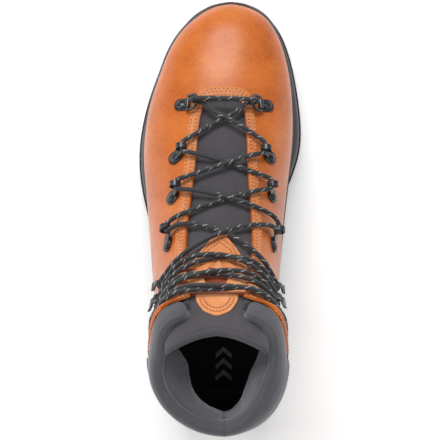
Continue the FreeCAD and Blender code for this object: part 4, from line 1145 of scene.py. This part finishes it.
def motif():
    verts, faces = [], []
    for row in range(3):
        for sign in (-1, 1):
            for k in range(5):
                x0, x1 = sign * k * MOTIF_STEP, sign * (k + MOTIF_FILL) * MOTIF_STEP
                y0, y1 = MOTIF_Y - row * MOTIF_GAP - k, MOTIF_Y - row * MOTIF_GAP - (k + MOTIF_FILL)
                start = len(verts)
                verts += [(MOTIF_X + x0, y0, 0), (MOTIF_X + x1, y1, 0),
                          (MOTIF_X + x1, y1 - MOTIF_BAR, 0), (MOTIF_X + x0, y0 - MOTIF_BAR, 0)]
                faces.append([start, start + 1, start + 2, start + 3])
    spot, _ = settle(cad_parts["footbed"], np.array(verts, float) + (0, 0, 45))
    spot[:, :2] = np.array(verts, float)[:, :2]
    top = spot + (0, 0, 0.35)
    bottom = spot - (0, 0, 0.15)
    n = len(verts)
    solid = list(faces) + [[i + n for i in f[::-1]] for f in faces]
    solid += [[f[k - 1] + n, f[k] + n, f[k], f[k - 1]] for f in faces for k in range(4)]
    obj = make("footbed_motif", np.concatenate([top, bottom]), solid, False)
    return ride(dress(obj, plain("motif_print", (0.26, 0.26, 0.27), (0.40, 0.40, 0.41), 0.6)), "footbed")


motif()


# ---------------------------------------------------------------- the lace
RING_REACH, RING_AXIS_Z, RING_TILT, BIGHT, CLIP_BAR = 10.0, 2.3, 24.0, 3.4, 6.3
LOOP_X, LOOP_Z, HOOK_X, HOOK_Z = 10.8, 5.9, 0.6, 3.5
CLIPS = {"medial": (32.5, 76.0, 4.0), "lateral": (-27.0, 76.5, 4.0)}
LOOPS = {"medial": [(34.5, 40.0, 31), (35.6, 13.5, 41), (36.3, -20.5, 66)],
         "lateral": [(-31.0, 39.5, 38), (-32.6, 12.0, 46), (-35.2, -20.0, 64)]}
HOOKS = [(12.15, 36.2, -6), (13.15, 36.6, -4), (14.4, 36.8, 0)]
CROSSINGS = [6.66, 8.05, 9.22, 10.3, 11.5, 12.75, 14.85]
LACE_R = 1.65


def unit(v):
    return v / np.linalg.norm(v)


def locate(x, y, a, angle):
    """The (station, angle) whose skin point is at (x, y), by Newton steps."""
    for _ in range(30):
        p = skin(a, angle)
        pa, pg = (skin(a + 0.01, angle) - p) / 0.01, (skin(a, angle + 0.1) - p) / 0.1
        det = pa[0] * pg[1] - pg[0] * pa[1]
        ex, ey = x - p[0], y - p[1]
        a += max(-1.0, min(1.0, (ex * pg[1] - pg[0] * ey) / det))
        angle += max(-15.0, min(15.0, (pa[0] * ey - ex * pa[1]) / det))
    return a, angle


def seat(a, angle, turn=0.0):
    """Axes on the skin: inward turned toe-ward by turn degrees, across, and the outward normal."""
    p = skin(a, angle)
    da = skin(a + 0.05, angle) - skin(a - 0.05, angle)
    dg = skin(a, angle + 0.5) - skin(a, angle - 0.5)
    side = 1 if angle > 0 else -1
    normal = unit(np.cross(da, dg))
    middle = np.array([0, back_y(a), (front_z(a) + back_z(a)) / 2], float)
    if normal @ (p - middle) < 0 and normal[2] < 0.2:
        normal = -normal
    if normal[2] < 0:
        normal = -normal
    inward, toeward = unit(dg * -side), unit(-da)
    toeward = unit(toeward - inward * (toeward @ inward))
    t = math.radians(turn)
    ex = inward * math.cos(t) + toeward * math.sin(t)
    return p, ex, np.cross(normal, ex), normal


def heelward_axis(centre, normal, before, after):
    pull = unit(unit(before - centre) + unit(after - centre))
    axis = unit(np.cross(normal, pull))
    return axis if axis @ (after - before) > 0 else -axis


def make_eyes():
    """Where the lace turns, by side: (station, angle, front mouth, back mouth)."""
    eyes = {"medial": [], "lateral": []}
    for name, side in (("medial", 1), ("lateral", -1)):
        for row, (x, y, turn) in enumerate(LOOPS[name]):
            a, angle = locate(x, y, 7.7 + 1.2 * row, side * 40.0)
            origin, ex, ey, ez = seat(a, angle, turn)
            centre = origin + ex * LOOP_X + ez * LOOP_Z
            axis = heelward_axis(centre, ez, skin(CROSSINGS[row], 0), skin(CROSSINGS[row + 1], 0))
            ea, eangle = locate(centre[0], centre[1], a, angle)
            eyes[name].append((ea, eangle, centre - axis * 3.3, centre + axis * 3.3))
        for row, (a, x, turn) in enumerate(HOOKS):
            angle = float(angle_at_width(a, side * x))
            origin, ex, ey, ez = seat(a, angle, turn)
            axis = ey if ey @ (skin(a + 0.3, angle) - skin(a, angle)) > 0 else -ey
            centre = origin + ex * HOOK_X + ez * HOOK_Z
            eyes[name].append((a, angle, centre - axis * 4.2, centre + axis * 4.2))
    return eyes


def ring_turn(name):
    """The lace's turn round a D-ring's bow, from above it to below."""
    x, y, turn = CLIPS[name]
    a, angle = locate(x, y, 6.1, 35.0 if x > 0 else -35.0)
    origin, ex, ey, ez = seat(a, angle, turn)
    tilt = math.radians(RING_TILT)
    rx = ex * math.cos(tilt) + ez * math.sin(tilt)
    rz = ez * math.cos(tilt) - ex * math.sin(tilt)
    bow = origin + ex * CLIP_BAR + ez * RING_AXIS_Z + rx * RING_REACH
    k = BIGHT / math.cos(math.radians(36))
    turns = [math.radians(d) for d in (66, 138, 210, 282)]
    return [bow + rx * (math.cos(t) * k) + rz * (math.sin(t) * k) for t in turns]


def strand(start, end, middle, over):
    """Points of one strand between (station, angle) pairs across the throat."""
    points = []
    for f in (0.2, 0.5, 0.8):
        a = mix(start[0], end[0], f) + (middle - mix(start[0], end[0], 0.5)) * math.sin(math.pi * f)
        lift = (5.7 if over else 1.5) if f == 0.5 else (5.9 if over else 5.5)
        points.append(skin(a, mix(start[1], end[1], f), lift))
    return points


def lace_route():
    """The whole lace, from one tucked end round the D-rings to the other."""
    eyes, halves = make_eyes(), []
    other = {"lateral": "medial", "medial": "lateral"}
    for first in ("lateral", "medial"):
        x, y, turn = CLIPS[first]
        points, side, over = ring_turn(first), other[first], first == "lateral"
        previous = locate(x - math.copysign(12, x), y, 6.1, math.copysign(12.0, x))
        for row in range(6):
            eye = eyes[side][row]
            points += strand(previous, eye, CROSSINGS[row], over) + [eye[2], eye[3]]
            previous, side = eye, other[side]
        sign = 1 if side == "medial" else -1
        points += strand(previous, (15.3, sign * 52.0), CROSSINGS[6], over)
        points += [skin(a, sign * g, lift) for a, g, lift in (
            (15.35, 55, 3.6), (15.3, 66, 3.0), (15.1, 75, 2.6), (14.8, 82, 2.4), (14.45, 88, 2.3))]
        halves.append(points)
    return np.array(halves[0][::-1] + halves[1])


def nurbs_points(points):
    """Points read from a NURBS curve over the route."""
    data = bpy.data.curves.new("lace_curve", "CURVE")
    data.dimensions = "3D"
    data.resolution_u = 14
    line = data.splines.new("NURBS")
    line.points.add(len(points) - 1)
    for p, q in zip(line.points, points * MM):
        p.co = (*q, 1.0)
    line.order_u = 3
    line.use_endpoint_u = True
    obj = bpy.data.objects.new("lace_curve", data)
    mesh = bpy.data.meshes.new_from_object(obj)
    result = coords(mesh) / MM
    bpy.data.objects.remove(obj)
    return result


def braid(name, route, radius, strands=6, pitch=2.35, fleck_every=7.6):
    """A round braid: two families of plaits crossing, with pale flecks at intervals."""
    path = resample(route, 0.42)
    step = np.linalg.norm(np.diff(path, axis=0), axis=1).mean()
    sides = 26
    s = (np.arange(len(path)) * step)[:, None]
    w = np.linspace(0, 2 * np.pi, sides, endpoint=False)[None, :]
    k = 2 * np.pi / pitch
    one, two = np.cos(strands * w + k * s), np.cos(strands * w - k * s)
    height = np.maximum(one, two)
    obj = tube(name, path, lambda i, q: radius * (0.88 + 0.12 * (0.5 + 0.5 * height)), sides)
    family = np.round((strands * w + k * s) / (2 * np.pi)).astype(int) % strands
    window = (s / fleck_every) % 1.0
    skip = np.sin(np.floor(s / fleck_every) * 12.9) > -0.85
    fleck = (one > 0.5) & (one >= two - 0.25) & (family % 2 == 0) & (window < 0.42) & skip
    layer = obj.data.attributes.new("fleck", "FLOAT", "POINT")
    layer.data.foreach_set("value", fleck.astype(float).ravel())
    return obj


def lace_material():
    g = Graph("braided_lace")
    fine = g.noise(2600, 2, 0.7)
    dark = g.ramp(fine, [(0.3, (0.010, 0.011, 0.013)), (0.75, (0.030, 0.032, 0.037))])
    colour = g.blend(g.attribute("fleck"), dark, (0.46, 0.46, 0.44))
    return g.done(colour, 0.62, g.bump(fine, 0.4, 0.1), Sheen_Weight=0.2)


M_LACE = lace_material()
lace = braid("lace_visual", nurbs_points(lace_route()), LACE_R)
ride(dress(lace, M_LACE), "lace_cord", "lace")


# ---------------------------------------------------------------- floor, light, camera
CAMERA_UP, CAMERA_Y = 1.5, -0.0025    # metres
SENSOR = 36                           # mm
FOCAL_OVER_WIDTH = 4.6909090909       # a long lens, so the view is nearly parallel
WORLD_LIGHT, FLOOR_GLOW = 0.38, 0.30


def stage():
    bpy.ops.mesh.primitive_plane_add(size=6, location=(0, 0, 0))
    floor = bpy.context.object
    floor.name = "floor"
    g = Graph("floor_paper")
    g.done((0.93, 0.93, 0.93), 0.9, Emission_Color=(1, 1, 1, 1), Emission_Strength=FLOOR_GLOW)
    dress(floor, g.mat)
    world = bpy.data.worlds.new("studio")
    bpy.context.scene.world = world
    world.use_nodes = True
    world.node_tree.nodes["Background"].inputs[0].default_value = (1, 1, 1, 1)
    world.node_tree.nodes["Background"].inputs[1].default_value = WORLD_LIGHT
    for name, place, target, size, power in (
            ("key", (-0.15, 1.0, 1.35), (0, 0.08, 0.05), (0.7, 0.55), 16.5),
            ("top", (0.0, -0.35, 1.7), (0, 0, 0), (0.9, 0.9), 1.6),
            ("left_strip", (-1.2, 0.05, 0.55), (0, 0, 0.08), (0.4, 1.6), 4.6),
            ("right_strip", (1.2, -0.1, 0.6), (0, 0, 0.08), (0.4, 1.4), 0.6)):
        data = bpy.data.lights.new(name, "AREA")
        data.shape = "RECTANGLE"
        data.size, data.size_y = size
        data.energy = power
        lamp = bpy.data.objects.new(name, data)
        lamp.location = place
        lamp.rotation_euler = (Vector(target) - Vector(place)).to_track_quat("-Z", "Y").to_euler()
        bpy.context.scene.collection.objects.link(lamp)
    data = bpy.data.cameras.new("camera")
    data.sensor_width = SENSOR
    data.lens = FOCAL_OVER_WIDTH * SENSOR
    data.clip_start = 0.05
    camera = bpy.data.objects.new("camera", data)
    camera.location = (0, CAMERA_Y, CAMERA_UP)
    camera.rotation_euler = (0, 0, 0)
    bpy.context.scene.collection.objects.link(camera)
    bpy.context.scene.camera = camera
    bpy.context.scene.view_settings.view_transform = "Standard"


stage()
